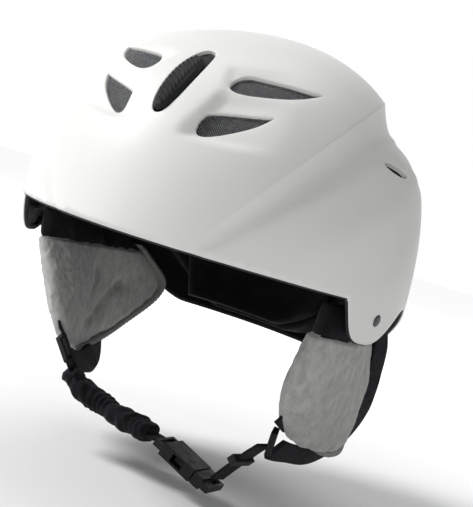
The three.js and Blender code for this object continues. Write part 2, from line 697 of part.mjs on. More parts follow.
// In the buckle's own frame the plug leaves along +X, and +Y is across.
function makeSocket() {
  let socket = boxSolid([0, -10, -4], [24, 10, 4]).add(boxSolid([-6, -10, -2], [1, 10, 2]));
  socket = socket.subtract(boxSolid([-4.2, -8, -3], [-1.2, 8, 3]));
  socket = socket.subtract(boxSolid([5, -8, -2.6], [26, 8, 2.6]));
  return socket.subtract(boxSolid([8, -12, -2.6], [16.5, 12, 2.6]));
}

function makePlug() {
  const body = boxSolid([24.6, -9.5, -3.6], [31, 9.5, 3.6]);
  const tongue = boxSolid([7, -1.6, -1.8], [25, 1.6, 1.8]);
  const tail = boxSolid([30.5, -9.5, -2], [36.5, 9.5, 2]).subtract(boxSolid([31.8, -8, -3], [34.8, 8, 3]));
  return body.add(tongue).add(tail);
}

function makeProng(side) {
  const arm = side > 0 ? boxSolid([9.4, 5, -1.2], [24.2, 6.6, 1.2]) : boxSolid([9.4, -6.6, -1.2], [24.2, -5, 1.2]);
  const head = side > 0 ? boxSolid([9.4, 5, -1.2], [15.6, 7.4, 1.2]) : boxSolid([9.4, -7.4, -1.2], [15.6, -5, 1.2]);
  return arm.add(head);
}

addPiece('buckle_socket', makeSocket(), 'black_plastic', buckle);
addPiece('buckle_plug', makePlug(), 'black_plastic', buckle);
addPiece('buckle_prong_front', makeProng(-1), 'black_plastic', buckle);
addPiece('buckle_prong_rear', makeProng(1), 'black_plastic', buckle);

// The chin webbing of the right side runs through the padded sleeve into the socket.
const CHIN_ROUTE = [[-60, -26, -87], [-51, -21, -99.5], [-30, -15.5, -108], [-8, -17, -110.5],
  [8, -18.4, -112], [16, -19.2, -112.8]];
const UP = [[0.3, 0.1, 1], [0.1, 0, 1], [0, 0, 1]];
addPiece('chin_strap_right', strap(CHIN_ROUTE, UP, 14, WEB_THICK, 14, 0.07, 0.87), 'webbing');
const sleeveOuter = strap(CHIN_ROUTE, UP, 19, 8, 14, 0.14, 0.84);
const sleeveInner = strap(CHIN_ROUTE, UP, 16, 3, 18, 0, 1);
addPiece('chin_sleeve', sleeveOuter.subtract(sleeveInner), 'lining');

const NEAR_ROUTE = [[52.4, -21.4, -118.6], [57.6, -21.4, -110.4], [65.5, -23.2, -100], [71, -25.1, -93.5]];
const NEAR_FACE = [[0.75, -0.2, -0.6], [0.75, -0.2, -0.6]];
addPiece('chin_strap_left', strap(NEAR_ROUTE, NEAR_FACE, 14, WEB_THICK, 8), 'webbing');
const keeperRoute = [[60.7, -22, -106.1], [63.6, -22.7, -102.4]];
const keeper = strap(keeperRoute, NEAR_FACE, 18, 5, 2).subtract(strap([[57.2, -21.3, -110.9], ...keeperRoute,
  [67.2, -23.6, -97.9]], NEAR_FACE, 15.2, 3.2, 6));
addPiece('strap_keeper', keeper, 'rubber');

// ---- goggle strap retainer ----------------------------------------------------------------
const GOGGLE_SPACE = 8;           // room for a goggle strap
addPiece('goggle_loop_base', patch([174.6, 185.4], [-32.5, -28.5], -GAP, -GOGGLE_SPACE + GAP, 4, 2),
  'black_plastic');
addPiece('goggle_loop', patch([175.4, 184.6], [-32.2, -11.5], -GOGGLE_SPACE, -GOGGLE_SPACE - 1.6, 4, 6), 'rubber');
const snapPost = lathe([[0, GAP], [4.2, GAP], [4.2, 2], [2.6, 3], [2.6, 5], [0, 5.4]], 14);
addPiece('goggle_snap', placed(snapPost, surfacePoint(180, -14), surfacePoint(180, -14)), 'black_plastic');

export default helmet;
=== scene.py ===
import json
import math
from functools import partial

import bmesh
import bpy
import numpy as np
from mathutils import Matrix, Vector, kdtree, noise
from mathutils.geometry import delaunay_2d_cdt


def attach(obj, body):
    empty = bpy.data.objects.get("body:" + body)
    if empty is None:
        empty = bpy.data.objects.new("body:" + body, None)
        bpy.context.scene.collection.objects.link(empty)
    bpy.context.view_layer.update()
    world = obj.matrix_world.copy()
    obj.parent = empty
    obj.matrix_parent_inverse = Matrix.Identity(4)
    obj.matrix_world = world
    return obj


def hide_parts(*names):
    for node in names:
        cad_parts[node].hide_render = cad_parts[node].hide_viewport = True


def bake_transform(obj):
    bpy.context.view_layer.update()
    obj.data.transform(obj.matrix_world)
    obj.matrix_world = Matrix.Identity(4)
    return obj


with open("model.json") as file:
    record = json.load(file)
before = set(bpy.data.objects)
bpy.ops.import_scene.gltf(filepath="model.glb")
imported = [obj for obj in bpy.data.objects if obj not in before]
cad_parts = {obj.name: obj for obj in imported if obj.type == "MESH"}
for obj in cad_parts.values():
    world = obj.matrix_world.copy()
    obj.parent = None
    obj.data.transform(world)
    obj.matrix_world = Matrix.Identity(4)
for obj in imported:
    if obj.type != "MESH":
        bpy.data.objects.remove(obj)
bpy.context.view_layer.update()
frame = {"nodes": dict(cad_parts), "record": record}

# Millimetres in this script are turned into metres when a mesh is made.
MM = 0.001
SIDES = {"left": 1, "right": -1}

# ---- the helmet's surface, as in the CAD model ----------------------------------------------
HALF_WIDTH, FRONT_REACH, REAR_REACH = 110.5, 127.6, 138.0
DOME_RISE, DOME_DROP = 127.2, 102.0
FRONT_POWER, REAR_POWER, SIDE_POWER = 1.8, 1.97, 2.45
PLAN_SOFTNESS = 0.12
TILT = math.radians(20)
SHELL = 2.5
BRIM_Z, TAB_Z, NECK_Z = 1.5, -20.5, -45.0
LINER_TOP = SHELL + 2.3
LINER_BOTTOM = 26.8
LINER_CROWN = 88.5               # elevation where the liner's rings close
CHANNEL_DEPTH = 6.5
PANEL_FLARE = 4.0


def smoothstep(x, a, b):
    t = np.clip((np.asarray(x, float) - a) / (b - a), 0, 1)
    return t * t * (3 - 2 * t)


def lerp(a, b, t):
    return a + (b - a) * t


def unit(v):
    v = np.asarray(v, float)
    return v / np.maximum(np.linalg.norm(v, axis=-1, keepdims=True), 1e-12)


def halved(low, high, times, under):
    """Bisection on arrays, towards the value where under(value) stops being true."""
    for _ in range(times):
        middle = (low + high) / 2
        below = under(middle)
        low, high = np.where(below, middle, low), np.where(below, high, middle)
    return low


def lengths_along(path):
    """The length of a path up to each of its points."""
    return np.concatenate([[0], np.cumsum(np.linalg.norm(np.diff(path, axis=0), axis=1))])


def polar(az, el):
    a, e = np.radians(az), np.radians(el)
    return np.stack([np.sin(a) * np.cos(e), -np.cos(a) * np.cos(e), np.sin(e) + 0 * a], -1)


def rotate_x(p, angle):
    c, s = math.cos(angle), math.sin(angle)
    return np.stack([p[..., 0], p[..., 1] * c - p[..., 2] * s, p[..., 1] * s + p[..., 2] * c], -1)


def to_worn(p):
    return rotate_x(p, TILT)


def directions_of(p):
    """Azimuth and elevation, in the dome's frame, of points in the worn frame."""
    q = rotate_x(np.asarray(p, float), -TILT)
    return (np.degrees(np.arctan2(q[..., 0], -q[..., 1])),
            np.degrees(np.arctan2(q[..., 2], np.hypot(q[..., 0], q[..., 1]))))


def dome_radius(d):
    reach = np.where(d[..., 1] < 0, FRONT_REACH, REAR_REACH)
    rise = np.where(d[..., 2] < 0, DOME_DROP, DOME_RISE)
    power = lerp(FRONT_POWER, REAR_POWER, smoothstep(d[..., 1], -0.4, 0.4))
    full = (1 + PLAN_SOFTNESS ** 2) ** (power / 2) - PLAN_SOFTNESS ** power

    def soft(q):
        return ((q * q + PLAN_SOFTNESS ** 2) ** (power / 2) - PLAN_SOFTNESS ** power) / full

    def within(r):
        plan = np.maximum(soft(d[..., 0] * r / HALF_WIDTH) + soft(d[..., 1] * r / reach), 0)
        return plan ** (SIDE_POWER / power) + np.abs(d[..., 2] * r / rise) ** SIDE_POWER < 1

    return halved(np.full(d.shape[:-1], 60.0), np.full(d.shape[:-1], 200.0), 30, within)


CREASE_AT, CREASE_NORMAL = np.array([37, -121, 3.0]), np.array([0.742, 0.306, -0.597])
RIDGE_AT, RIDGE_NORMAL = np.array([57, -108, 15.0]), np.array([0.639, 0.236, -0.732])


def beyond(p, at, normal):
    """Distance of points, mirrored to the left, beyond a plane."""
    return (np.stack([np.abs(p[..., 0]), p[..., 1], p[..., 2]], -1) - at) @ normal


def below_crease(p):
    return beyond(p, CREASE_AT, CREASE_NORMAL)


def channel_profile(share):
    """From the sharp crease at 0 down into the channel and out over a soft ridge at 1."""
    dip = np.sin(np.pi * np.clip(share, 0, 1) ** 0.95)
    t = np.clip((share - 0.78) / 0.4, 0, 1)
    soft = 0.61 * (2 * t ** 3 - 3 * t ** 2 + 1) - 2.3 * 0.4 * (t ** 3 - 2 * t ** 2 + t)
    return np.where(share < 0.78, dip, np.maximum(soft, -0.05))


# The exhaust vent at the rear end of the side channel.
NOTCH = (96.5, 37.6)


def relief(p):
    y = p[..., 1]
    below, past = below_crease(p), beyond(p, RIDGE_AT, RIDGE_NORMAL)
    width = np.maximum(below - past, 1e-3)
    share = np.where(below > 0, below / width, 0)
    along = smoothstep(y, -114, -20) * (1 - smoothstep(y, 60, 110))
    wedge = 0.17 * np.clip(width, 0, 60) * (1 - smoothstep(y, -90, -25))
    channel = np.where((below > 0) & (share < 1.2), channel_profile(share), 0)
    height = -(CHANNEL_DEPTH * along + wedge) * channel
    # a second, shallow rib inside the channel, towards its rear end
    rib = np.exp(-((share - 0.60) / 0.07) ** 2) * smoothstep(y, -75, -20) * (1 - smoothstep(y, 10, 40))
    height = height + 1.3 * rib * (below > 0)
    fade = smoothstep(y, -105, -60) * (1 - smoothstep(y, 70, 125))
    height = height + PANEL_FLARE * fade * smoothstep(past, 0, 24)
    # the tab carries a soft facet that runs up and back from its front corner
    facet = (p[..., 1] + 51) * 0.55 - (p[..., 2] - 2) * 0.6
    where = smoothstep(past, 6, 30) * (1 - smoothstep(y, 0, 40))
    return height + 0.9 * fade * smoothstep(facet, -9, 9) * where


def scoops(az, el):
    """Shallow ramps in the shell that lead to the blunt ends of the vents, beside a raised spine."""
    a = np.abs(az)
    u = a - lerp(7.2, 18.0, np.clip((el - 43.5) / 16.5, 0, 1.4))
    lower = smoothstep(u, -0.3, 5.0) * (1 - smoothstep(u, 9, 34))
    lower = lower * smoothstep(el, 42.8, 45.0) * (1 - smoothstep(el, 54.5, 59))
    v = a - 15.5
    upper = smoothstep(v, 0, 6) * (1 - smoothstep(v, 10, 45))
    upper = upper * smoothstep(el, 56.2, 60) * (1 - smoothstep(el, 63.5, 68))
    return -(3.8 * lower + 2.2 * upper)


def surface(az, el, depth=0.0, drop=0.0):
    """Points of the helmet's surface. depth is measured towards the origin."""
    az, el = np.asarray(az, float), np.asarray(el, float)
    az, el = np.broadcast_arrays(az, el)
    d = polar(az, el)
    radius = dome_radius(d)
    out = to_worn(d)
    share = np.clip(1 - np.asarray(depth, float) / (SHELL + 22), 0, 1)
    carved = relief(out * radius[..., None]) + scoops(az, el) + notch_lip(az, el)
    return out * (radius + carved * share - depth - drop)[..., None]


def notch_lip(az, el):
    a = np.abs(az) - NOTCH[0]
    e = el - NOTCH[1] + 0.28 * a
    dip = -2.6 * np.exp(-((a + 3) / 7) ** 2 - ((e - 0.8) / 3.2) ** 2)
    lip = 2.4 * np.exp(-((a - 9) / 6) ** 2 - ((e + 1.4) / 3.4) ** 2)
    return dip + lip


def normals(az, el):
    here = surface(az, el)
    east = surface(np.asarray(az) + 0.3, el) - here
    north = surface(az, np.asarray(el) + 0.3) - here
    return unit(np.cross(east, north))


def edge_height(az):
    a = np.abs(az)
    tab = (1 - (1 - np.clip((a - 63.0) / 12, 0, 1)) ** 6) * (1 - smoothstep(a, 73, 97))
    neck = smoothstep(a, 100, 146)
    return BRIM_Z + (TAB_Z - BRIM_Z) * tab + (NECK_Z - BRIM_Z) * neck


def foam_height(az):
    neck = smoothstep(np.abs(az), 118, 162)
    return BRIM_Z + 5 + (NECK_Z - BRIM_Z) * neck


def elevation_at(az, height, depth=0.0):
    az = np.asarray(az, float)
    return halved(np.full(az.shape, -75.0), np.full(az.shape, 60.0), 26,
                  lambda el: surface(az, el, depth)[..., 2] < height)


# ---- mesh tools -----------------------------------------------------------------------------
def add_mesh(name, points, faces, uvs=None, smooth=True, slots=None):
    """A new object from points in millimetres, with faces turned outwards."""
    mesh = bpy.data.meshes.new(name)
    mesh.from_pydata([tuple(float(c) * MM for c in p) for p in points], [], [tuple(f) for f in faces])
    if uvs is not None:
        layer = mesh.uv_layers.new(name="UVMap")
        for loop in mesh.loops:
            layer.data[loop.index].uv = uvs[loop.vertex_index]
    if slots is not None:
        mesh.polygons.foreach_set("material_index", slots)
    mesh.update()
    obj = bpy.data.objects.new(name, mesh)
    bpy.context.scene.collection.objects.link(obj)
    bm = bmesh.new()
    bm.from_mesh(mesh)
    bmesh.ops.recalc_face_normals(bm, faces=bm.faces)
    bm.to_mesh(mesh)
    bm.free()
    if smooth:
        mesh.polygons.foreach_set("use_smooth", [True] * len(mesh.polygons))
    return obj


def grid_faces(rows, cols, wrap=False):
    faces = []
    for r in range(rows - 1):
        for c in range(cols if wrap else cols - 1):
            d = (c + 1) % cols
            faces.append((r * cols + c, r * cols + d, (r + 1) * cols + d, (r + 1) * cols + c))
    return faces


def tube_faces(rings, n):
    """Faces of a tube of rings with n points each, closed at both ends."""
    ends = [tuple(range(n)), tuple((rings - 1) * n + i for i in range(n))]
    return grid_faces(rings, n, wrap=True) + ends


def sheet_faces(rows, cols):
    """Faces of two grids of points, the second turned over, and the indexes round the first one's border."""
    faces = grid_faces(rows, cols)
    faces += [tuple(i + rows * cols for i in f[::-1]) for f in faces]
    rim = [r * cols for r in range(rows)] + [(rows - 1) * cols + c for c in range(1, cols)]
    rim += [r * cols + cols - 1 for r in range(rows - 2, -1, -1)] + list(range(cols - 2, 0, -1))
    return faces, rim


def catmull(points, count, closed=False):
    """A smooth curve through points, sampled evenly by length."""
    p = np.asarray(points, float)
    n = len(p)
    if closed:
        ext = np.vstack([p[-1], p, p[0], p[1]])
        spans = n
    else:
        ext = np.vstack([2 * p[0] - p[1], p, 2 * p[-1] - p[-2]])
        spans = n - 1
    fine = []
    for i in range(spans):
        a, b, c, d = ext[i], ext[i + 1], ext[i + 2], ext[i + 3]
        for t in np.linspace(0, 1, 24, endpoint=False):
            fine.append(0.5 * (2 * b + (c - a) * t + (2 * a - 5 * b + 4 * c - d) * t * t
                               + (3 * b - a - 3 * c + d) * t ** 3))
    fine.append(p[0] if closed else p[-1])
    fine = np.array(fine)
    length = lengths_along(fine)
    at = np.linspace(0, length[-1], count + 1 if closed else count)
    out = np.stack([np.interp(at, length, fine[:, k]) for k in range(fine.shape[1])], -1)
    return out[:-1] if closed else out


def chaikin(points, times=3):
    """Rounds an open outline, keeping its two ends."""
    p = np.asarray(points, float)
    for _ in range(times):
        q = [p[0]]
        for a, b in zip(p[:-1], p[1:]):
            q += [a * 0.75 + b * 0.25, a * 0.25 + b * 0.75]
        p = np.array(q + [p[-1]])
    return p


def inside(polygon, points):
    """Which points lie inside a closed polygon, both as arrays of pairs."""
    x, y = points[:, 0], points[:, 1]
    hit = np.zeros(len(points), bool)
    for (x0, y0), (x1, y1) in zip(polygon, np.roll(polygon, -1, axis=0)):
        crosses = (y0 > y) != (y1 > y)
        if y1 != y0:
            hit ^= crosses & (x < (x1 - x0) * (y - y0) / (y1 - y0) + x0)
    return hit


def frames_along(path, faces):
    """Tangent, outward and sideways directions along a path whose flat side faces given ways."""
    tangent = unit(np.gradient(path, axis=0))
    at = np.linspace(0, len(faces) - 1, len(path))
    i = np.minimum(at.astype(int), len(faces) - 2)
    f = np.asarray(faces, float)
    face = f[i] * (1 - (at - i))[:, None] + f[i + 1] * (at - i)[:, None]
    across = unit(np.cross(tangent, unit(face)))
    out = unit(np.cross(across, tangent))
    return tangent, out, across


def wobble(points, scale, seed):
    """Smooth noise from -1 to 1 at each point in millimetres."""
    return np.array([noise.noise(Vector(p * scale) + Vector((seed * 7.3, seed * 3.1, seed * 5.7)))
                     for p in np.asarray(points, float)])


def ribbon(name, route, facing, width, thick, steps, sag, seed):
    """Flat webbing with rounded selvedges along a route, with UVs in millimetres."""
    path = catmull(route, steps)
    _, out, across = frames_along(path, facing)
    profile = []
    half, h = width / 2, thick / 2
    for t in np.linspace(-1, 1, 9):
        profile.append((t * (half - h), h))
    for t in (60, 0, -60):
        profile.append((half - h + h * math.cos(math.radians(t)), h * math.sin(math.radians(t))))
    for t in np.linspace(1, -1, 9):
        profile.append((t * (half - h), -h))
    for t in (-120, 180, 120):
        profile.append((-half + h + h * math.cos(math.radians(t)), h * math.sin(math.radians(t))))
    points, uvs = [], []
    run = lengths_along(path)
    lift = wobble(path, 0.045, seed) * sag
    bow = wobble(path, 0.09, seed + 3) * sag * 0.35
    for k in range(steps):
        for i, (x, z) in enumerate(profile):
            cup = bow[k] * (1 - (x / half) ** 2)
            points.append(path[k] + across[k] * x + out[k] * (z + lift[k] + cup))
            uvs.append((x, run[k]))
    return add_mesh(name, points, tube_faces(steps, len(profile)), uvs=uvs)


def bevelled(obj, width):
    m = obj.modifiers.new("edges", "BEVEL")
    m.width = width * MM
    m.segments = 3
    m.limit_method = "ANGLE"
    m.angle_limit = math.radians(35)
    m.harden_normals = False
    for p in obj.data.polygons:
        p.use_smooth = True
    w = obj.modifiers.new("normals", "WEIGHTED_NORMAL")
    w.keep_sharp = False


# ---- materials ------------------------------------------------------------------------------
def set_inputs(node, values):
    """Puts constants on a node's sockets."""
    for name, value in values.items():
        node.inputs[name].default_value = value


class Look:
    """A procedural material: base colour and roughness varied by noise, and a bump built up in layers."""

    def __init__(self, name, color, roughness, metallic=0.0, sheen=0.0, coat=0.0, sheen_tint=(1, 1, 1)):
        self.mat = bpy.data.materials.new(name)
        self.mat.use_nodes = True
        self.nodes, self.links = self.mat.node_tree.nodes, self.mat.node_tree.links
        self.shader = self.nodes["Principled BSDF"]
        values = {"Base Color": (*color, 1), "Roughness": roughness, "Metallic": metallic,
                  "Specular IOR Level": 0.5 if max(color) > 0.1 else 0.22}
        if sheen:
            values |= {"Sheen Weight": sheen, "Sheen Roughness": 0.5, "Sheen Tint": (*sheen_tint, 1)}
        if coat:
            values |= {"Coat Weight": coat, "Coat Roughness": 0.25}
        set_inputs(self.shader, values)
        self.coords = self.nodes.new("ShaderNodeTexCoord")
        self.height = None

    def place(self, scale, uv=False):
        m = self.nodes.new("ShaderNodeMapping")
        m.inputs["Scale"].default_value = scale if isinstance(scale, tuple) else (scale,) * 3
        self.links.new(self.coords.outputs["UV" if uv else "Object"], m.inputs["Vector"])
        return m.outputs["Vector"]

    def noise(self, scale, detail, rough=0.55):
        n = self.nodes.new("ShaderNodeTexNoise")
        set_inputs(n, {"Scale": 1, "Detail": detail, "Roughness": rough})
        self.links.new(self.place(scale), n.inputs["Vector"])
        return n.outputs["Fac"]

    def cells(self, scale):
        n = self.nodes.new("ShaderNodeTexVoronoi")
        n.inputs["Scale"].default_value = 1
        self.links.new(self.place(scale), n.inputs["Vector"])
        return n.outputs["Distance"]

    def waves(self, scale, uv=False, axis="X", distortion=0.0):
        n = self.nodes.new("ShaderNodeTexWave")
        n.wave_type = "BANDS"
        n.bands_direction = axis
        set_inputs(n, {"Scale": 1, "Distortion": distortion, "Detail": 1.5})
        self.links.new(self.place(scale, uv), n.inputs["Vector"])
        return n.outputs["Fac"]

    def math(self, operation, a, b):
        n = self.nodes.new("ShaderNodeMath")
        n.operation = operation
        self.links.new(a, n.inputs[0])
        self.links.new(b, n.inputs[1])
        return n.outputs[0]

    def span(self, fac, low, high, lo=0.3, hi=0.7):
        n = self.nodes.new("ShaderNodeMapRange")
        set_inputs(n, {"From Min": lo, "From Max": hi, "To Min": low, "To Max": high})
        self.links.new(fac, n.inputs["Value"])
        return n.outputs["Result"]

    def tint(self, fac, dark, light, lo=0.3, hi=0.7):
        ramp = self.nodes.new("ShaderNodeValToRGB")
        for stop, position, color in zip(ramp.color_ramp.elements, (lo, hi), (dark, light)):
            stop.position = position
            stop.color = (*color, 1)
        self.links.new(fac, ramp.inputs["Fac"])
        self.links.new(ramp.outputs["Color"], self.shader.inputs["Base Color"])

    def rough(self, fac, low, high):
        self.links.new(self.span(fac, low, high), self.shader.inputs["Roughness"])

    def bump(self, fac, strength, distance):
        n = self.nodes.new("ShaderNodeBump")
        set_inputs(n, {"Strength": strength, "Distance": distance * MM})
        self.links.new(fac, n.inputs["Height"])
        if self.height is not None:
            self.links.new(self.height, n.inputs["Normal"])
        self.height = n.outputs["Normal"]
        self.links.new(self.height, self.shader.inputs["Normal"])


def scaled(color, k):
    return tuple(c * k for c in color)


def shell_look():
    look = Look("shell_satin_white", (0.74, 0.74, 0.732), 0.40, coat=0.05)
    look.tint(look.noise(18, 2), (0.685, 0.691, 0.670), (0.715, 0.720, 0.700))
    look.rough(look.noise(60, 4), 0.38, 0.50)
    look.bump(look.noise(900, 2), 0.10, 0.05)
    look.bump(look.noise((2600, 500, 1400), 1), 0.05, 0.03)
    return look.mat


def moulded_look(name, color, roughness, grain=1600, strength=0.25):
    look = Look(name, color, roughness)
    look.tint(look.noise(90, 3), scaled(color, 0.75), scaled(color, 1.35))
    look.rough(look.noise(240, 3), roughness - 0.08, roughness + 0.12)
    look.bump(look.cells(grain), strength, 0.06)
    look.bump(look.noise(grain * 0.4, 2), 0.15, 0.08)
    return look.mat


def foam_look():
    look = Look("moulded_foam", (0.012, 0.0125, 0.014), 0.8)
    bead = look.cells(330)
    look.tint(bead, (0.009, 0.0092, 0.010), (0.003, 0.003, 0.0035), 0.2, 0.75)
    look.rough(look.noise(120, 3), 0.68, 0.92)
    look.bump(bead, 0.5, 0.35)
    look.bump(look.noise(1800, 2), 0.3, 0.08)
    return look.mat


def brushed_look(name, color):
    look = Look(name, color, 0.92, sheen=0.08, sheen_tint=(0.4, 0.42, 0.5))
    look.tint(look.noise(70, 4), scaled(color, 0.65), scaled(color, 1.5))
    look.rough(look.noise(200, 2), 0.85, 1.0)
    knit = look.waves((900, 900, 260), axis="DIAGONAL", distortion=2.0)
    look.bump(knit, 0.35, 0.15)
    look.bump(look.noise(1500, 3), 0.5, 0.12)
    return look.mat


def plush_look():
    look = Look("plush_pile", (0.40, 0.40, 0.39), 0.95, sheen=0.3)
    tuft = look.noise((230, 230, 120), 5, 0.65)
    look.tint(tuft, (0.28, 0.28, 0.273), (0.445, 0.445, 0.435), 0.32, 0.66)
    look.rough(look.noise(160, 2), 0.88, 1.0)
    look.bump(tuft, 0.55, 0.9)
    look.bump(look.noise((1500, 1500, 420), 4, 0.7), 0.75, 0.35)
    return look.mat


def knit_look():
    look = Look("ribbed_knit", (0.47, 0.475, 0.455), 0.92, sheen=0.3)
    rib = look.waves((0.0, 1.15, 0.0), uv=True, axis="Y")
    stitch = look.waves((2.2, 2.2, 0), uv=True, axis="DIAGONAL")
    mixed = look.math("MULTIPLY", rib, look.span(stitch, 0.6, 1.0, 0, 1))
    look.tint(mixed, (0.17, 0.172, 0.162), (0.42, 0.424, 0.405), 0.1, 0.85)
    look.bump(mixed, 0.6, 0.35)
    look.bump(look.noise(1900, 2), 0.4, 0.08)
    return look.mat


def webbing_look():
    look = Look("woven_webbing", (0.006, 0.0062, 0.0075), 0.82, sheen=0.06, sheen_tint=(0.5, 0.52, 0.6))
    warp = look.waves((1.35, 0, 0), uv=True, axis="X")
    weft = look.waves((0, 0.75, 0), uv=True, axis="Y")
    twill = look.waves((0.55, 0.55, 0), uv=True, axis="DIAGONAL")
    weave = look.math("MULTIPLY", look.math("ADD", warp, weft), look.span(twill, 0.7, 1.0, 0, 1))
    look.tint(weave, (0.002, 0.002, 0.0025), (0.012, 0.0125, 0.015), 0.2, 1.4)
    look.rough(look.noise(300, 3), 0.72, 0.95)
    look.bump(weave, 0.6, 0.3)
    look.bump(look.noise(2400, 2), 0.35, 0.06)
    return look.mat


def wire_look():
    look = Look("vent_mesh_wire", (0.13, 0.135, 0.14), 0.5)
    look.tint(look.noise(500, 3), (0.085, 0.088, 0.092), (0.20, 0.205, 0.21))
    look.rough(look.noise(700, 2), 0.4, 0.6)
    look.bump(look.noise(3000, 2), 0.3, 0.04)
    return look.mat


def metal_look():
    look = Look("painted_rivet", (0.17, 0.175, 0.18), 0.42, metallic=0.5)
    look.tint(look.noise(700, 3), (0.05, 0.052, 0.055), (0.11, 0.112, 0.115))
    look.rough(look.noise(900, 3), 0.32, 0.55)
    look.bump(look.noise(1600, 3), 0.2, 0.05)
    return look.mat


LOOKS = {
    "shell": shell_look(),
    "trim": moulded_look("rubber_trim", (0.018, 0.0185, 0.02), 0.6),
    "foam": foam_look(),
    "mesh": wire_look(),
    "grip": moulded_look("soft_grip", (0.009, 0.0095, 0.0105), 0.5, 1300, 0.4),
    "black_plastic": moulded_look("black_plastic", (0.007, 0.0072, 0.008), 0.42),
    "lining": brushed_look("brushed_lining", (0.007, 0.0072, 0.0085)),
    "plush": plush_look(),
    "knit": knit_look(),
    "webbing": webbing_look(),
    "metal": metal_look(),
}


def dress(obj, look, body=None, stands_for=()):
    obj.data.materials.clear()
    obj.data.materials.append(LOOKS[look])
    if stands_for:
        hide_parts(*stands_for)
    if body:
        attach(obj, body)
    return obj


# ---- shell ----------------------------------------------------------------------------------
VENT_LOWER = [(38.7, 52.7), (27, 52.75), (18.5, 51.9), (15.2, 51.0), (13.4, 48.6), (13.0, 46.0), (14.6, 44.9),
              (18, 45.5), (25.1, 47.7), (32.5, 50.0), (38.7, 52.7)]
VENT_UPPER = [(65.4, 60.0), (46, 63.6), (32, 64.9), (25.9, 64.6), (21.6, 62.6), (19.7, 59.7), (21.4, 58.2),
              (26, 57.8), (36, 58.2), (50, 58.6), (65.4, 60.0)]
SLOT_LOW, SLOT_HIGH, SLOT_HALF = 46.9, 71.5, 6.9
SKIN_THICK = 1.9
# How far the rolled rim of a vent reaches, and how deep the walls of the vents, notches and slot go.
VENT_RIM, SLOT_RIM = 0.8, 0.6
VENT_WALL, NOTCH_WALL, SLOT_WALL = 3.4, 3.2, 2.0


def leaf(low, high, half, count):
    t = np.linspace(0, 2 * np.pi, count, endpoint=False)
    el = (low + high) / 2 + (high - low) / 2 * np.sin(t)
    width = half * np.sign(np.cos(t)) * np.abs(np.cos(t)) ** 0.85
    across = np.linalg.norm(surface(0 * el, el), axis=-1) * np.cos(np.radians(el))
    return np.stack([np.degrees(np.arctan2(width, across)), el], -1)


def vent_outline(points, mirror):
    p = chaikin(points, 3)[:-1]
    if mirror:
        p = p[::-1] * np.array([-1, 1])
    return p


def even_outline(outline, step):
    """Points evenly spaced on the surface along an outline, and their outward directions."""
    closed = np.vstack([outline, outline[:1]])
    fine = np.vstack([closed[i] * (1 - t) + closed[i + 1] * t for i in range(len(outline))
                      for t in np.linspace(0, 1, 6, endpoint=False)[:, None, None]]).reshape(-1, 2)
    p = surface(fine[:, 0], fine[:, 1])
    length = lengths_along(np.vstack([p, p[:1]]))
    count = int(round(length[-1] / step))
    at = np.linspace(0, length[-1], count, endpoint=False)
    ring = np.vstack([fine, fine[:1]])
    az, el = (np.interp(at, length, ring[:, k]) for k in (0, 1))
    p = surface(az, el)
    tangent = unit(np.roll(p, -1, axis=0) - np.roll(p, 1, axis=0))
    side = unit(np.cross(tangent, normals(az, el)))
    centre = p.mean(axis=0)
    if np.sum((p - centre) * side) < 0:
        side = -side
    return p, side


def disc(az, el):
    rho = 90 - np.asarray(el)
    a = np.radians(az)
    return np.stack([rho * np.sin(a), -rho * np.cos(a)], -1)


def from_disc(q):
    rho = np.hypot(q[:, 0], q[:, 1])
    return np.degrees(np.arctan2(q[:, 0], -q[:, 1])), 90 - rho


def notch_outline(mirror):
    a, e = NOTCH
    loop = [(-8.5, 1.9), (-5, 3.2), (0, 2.9), (4.2, 0.6), (5.2, -1.7), (2.6, -2.6), (-2, -1.6), (-6, 0.2)]
    p = catmull([(x * 0.75, y * 0.8 - 0.21 * x) for x, y in loop], 40, closed=True)
    q = np.stack([a + p[:, 0], e + p[:, 1]], -1)
    return q[::-1] * np.array([-1, 1]) if mirror else q


# Each opening's outline, rim radius and wall depth, and whether it has a floor.
openings = []
for mirror in (False, True):
    openings.append((vent_outline(VENT_LOWER, mirror), VENT_RIM, VENT_WALL, False))
    openings.append((vent_outline(VENT_UPPER, mirror), VENT_RIM, VENT_WALL, False))
    openings.append((notch_outline(mirror), VENT_RIM, NOTCH_WALL, True))
openings.append((leaf(SLOT_LOW, SLOT_HIGH, SLOT_HALF, 72), SLOT_RIM, SLOT_WALL, True))


def azimuths_round(*stretches):
    """Azimuths all the way round, from (start, stop, step) stretches for the left half."""
    half = np.concatenate([np.arange(*stretch) for stretch in stretches])
    return np.concatenate([half, [180], -half[1:][::-1]])


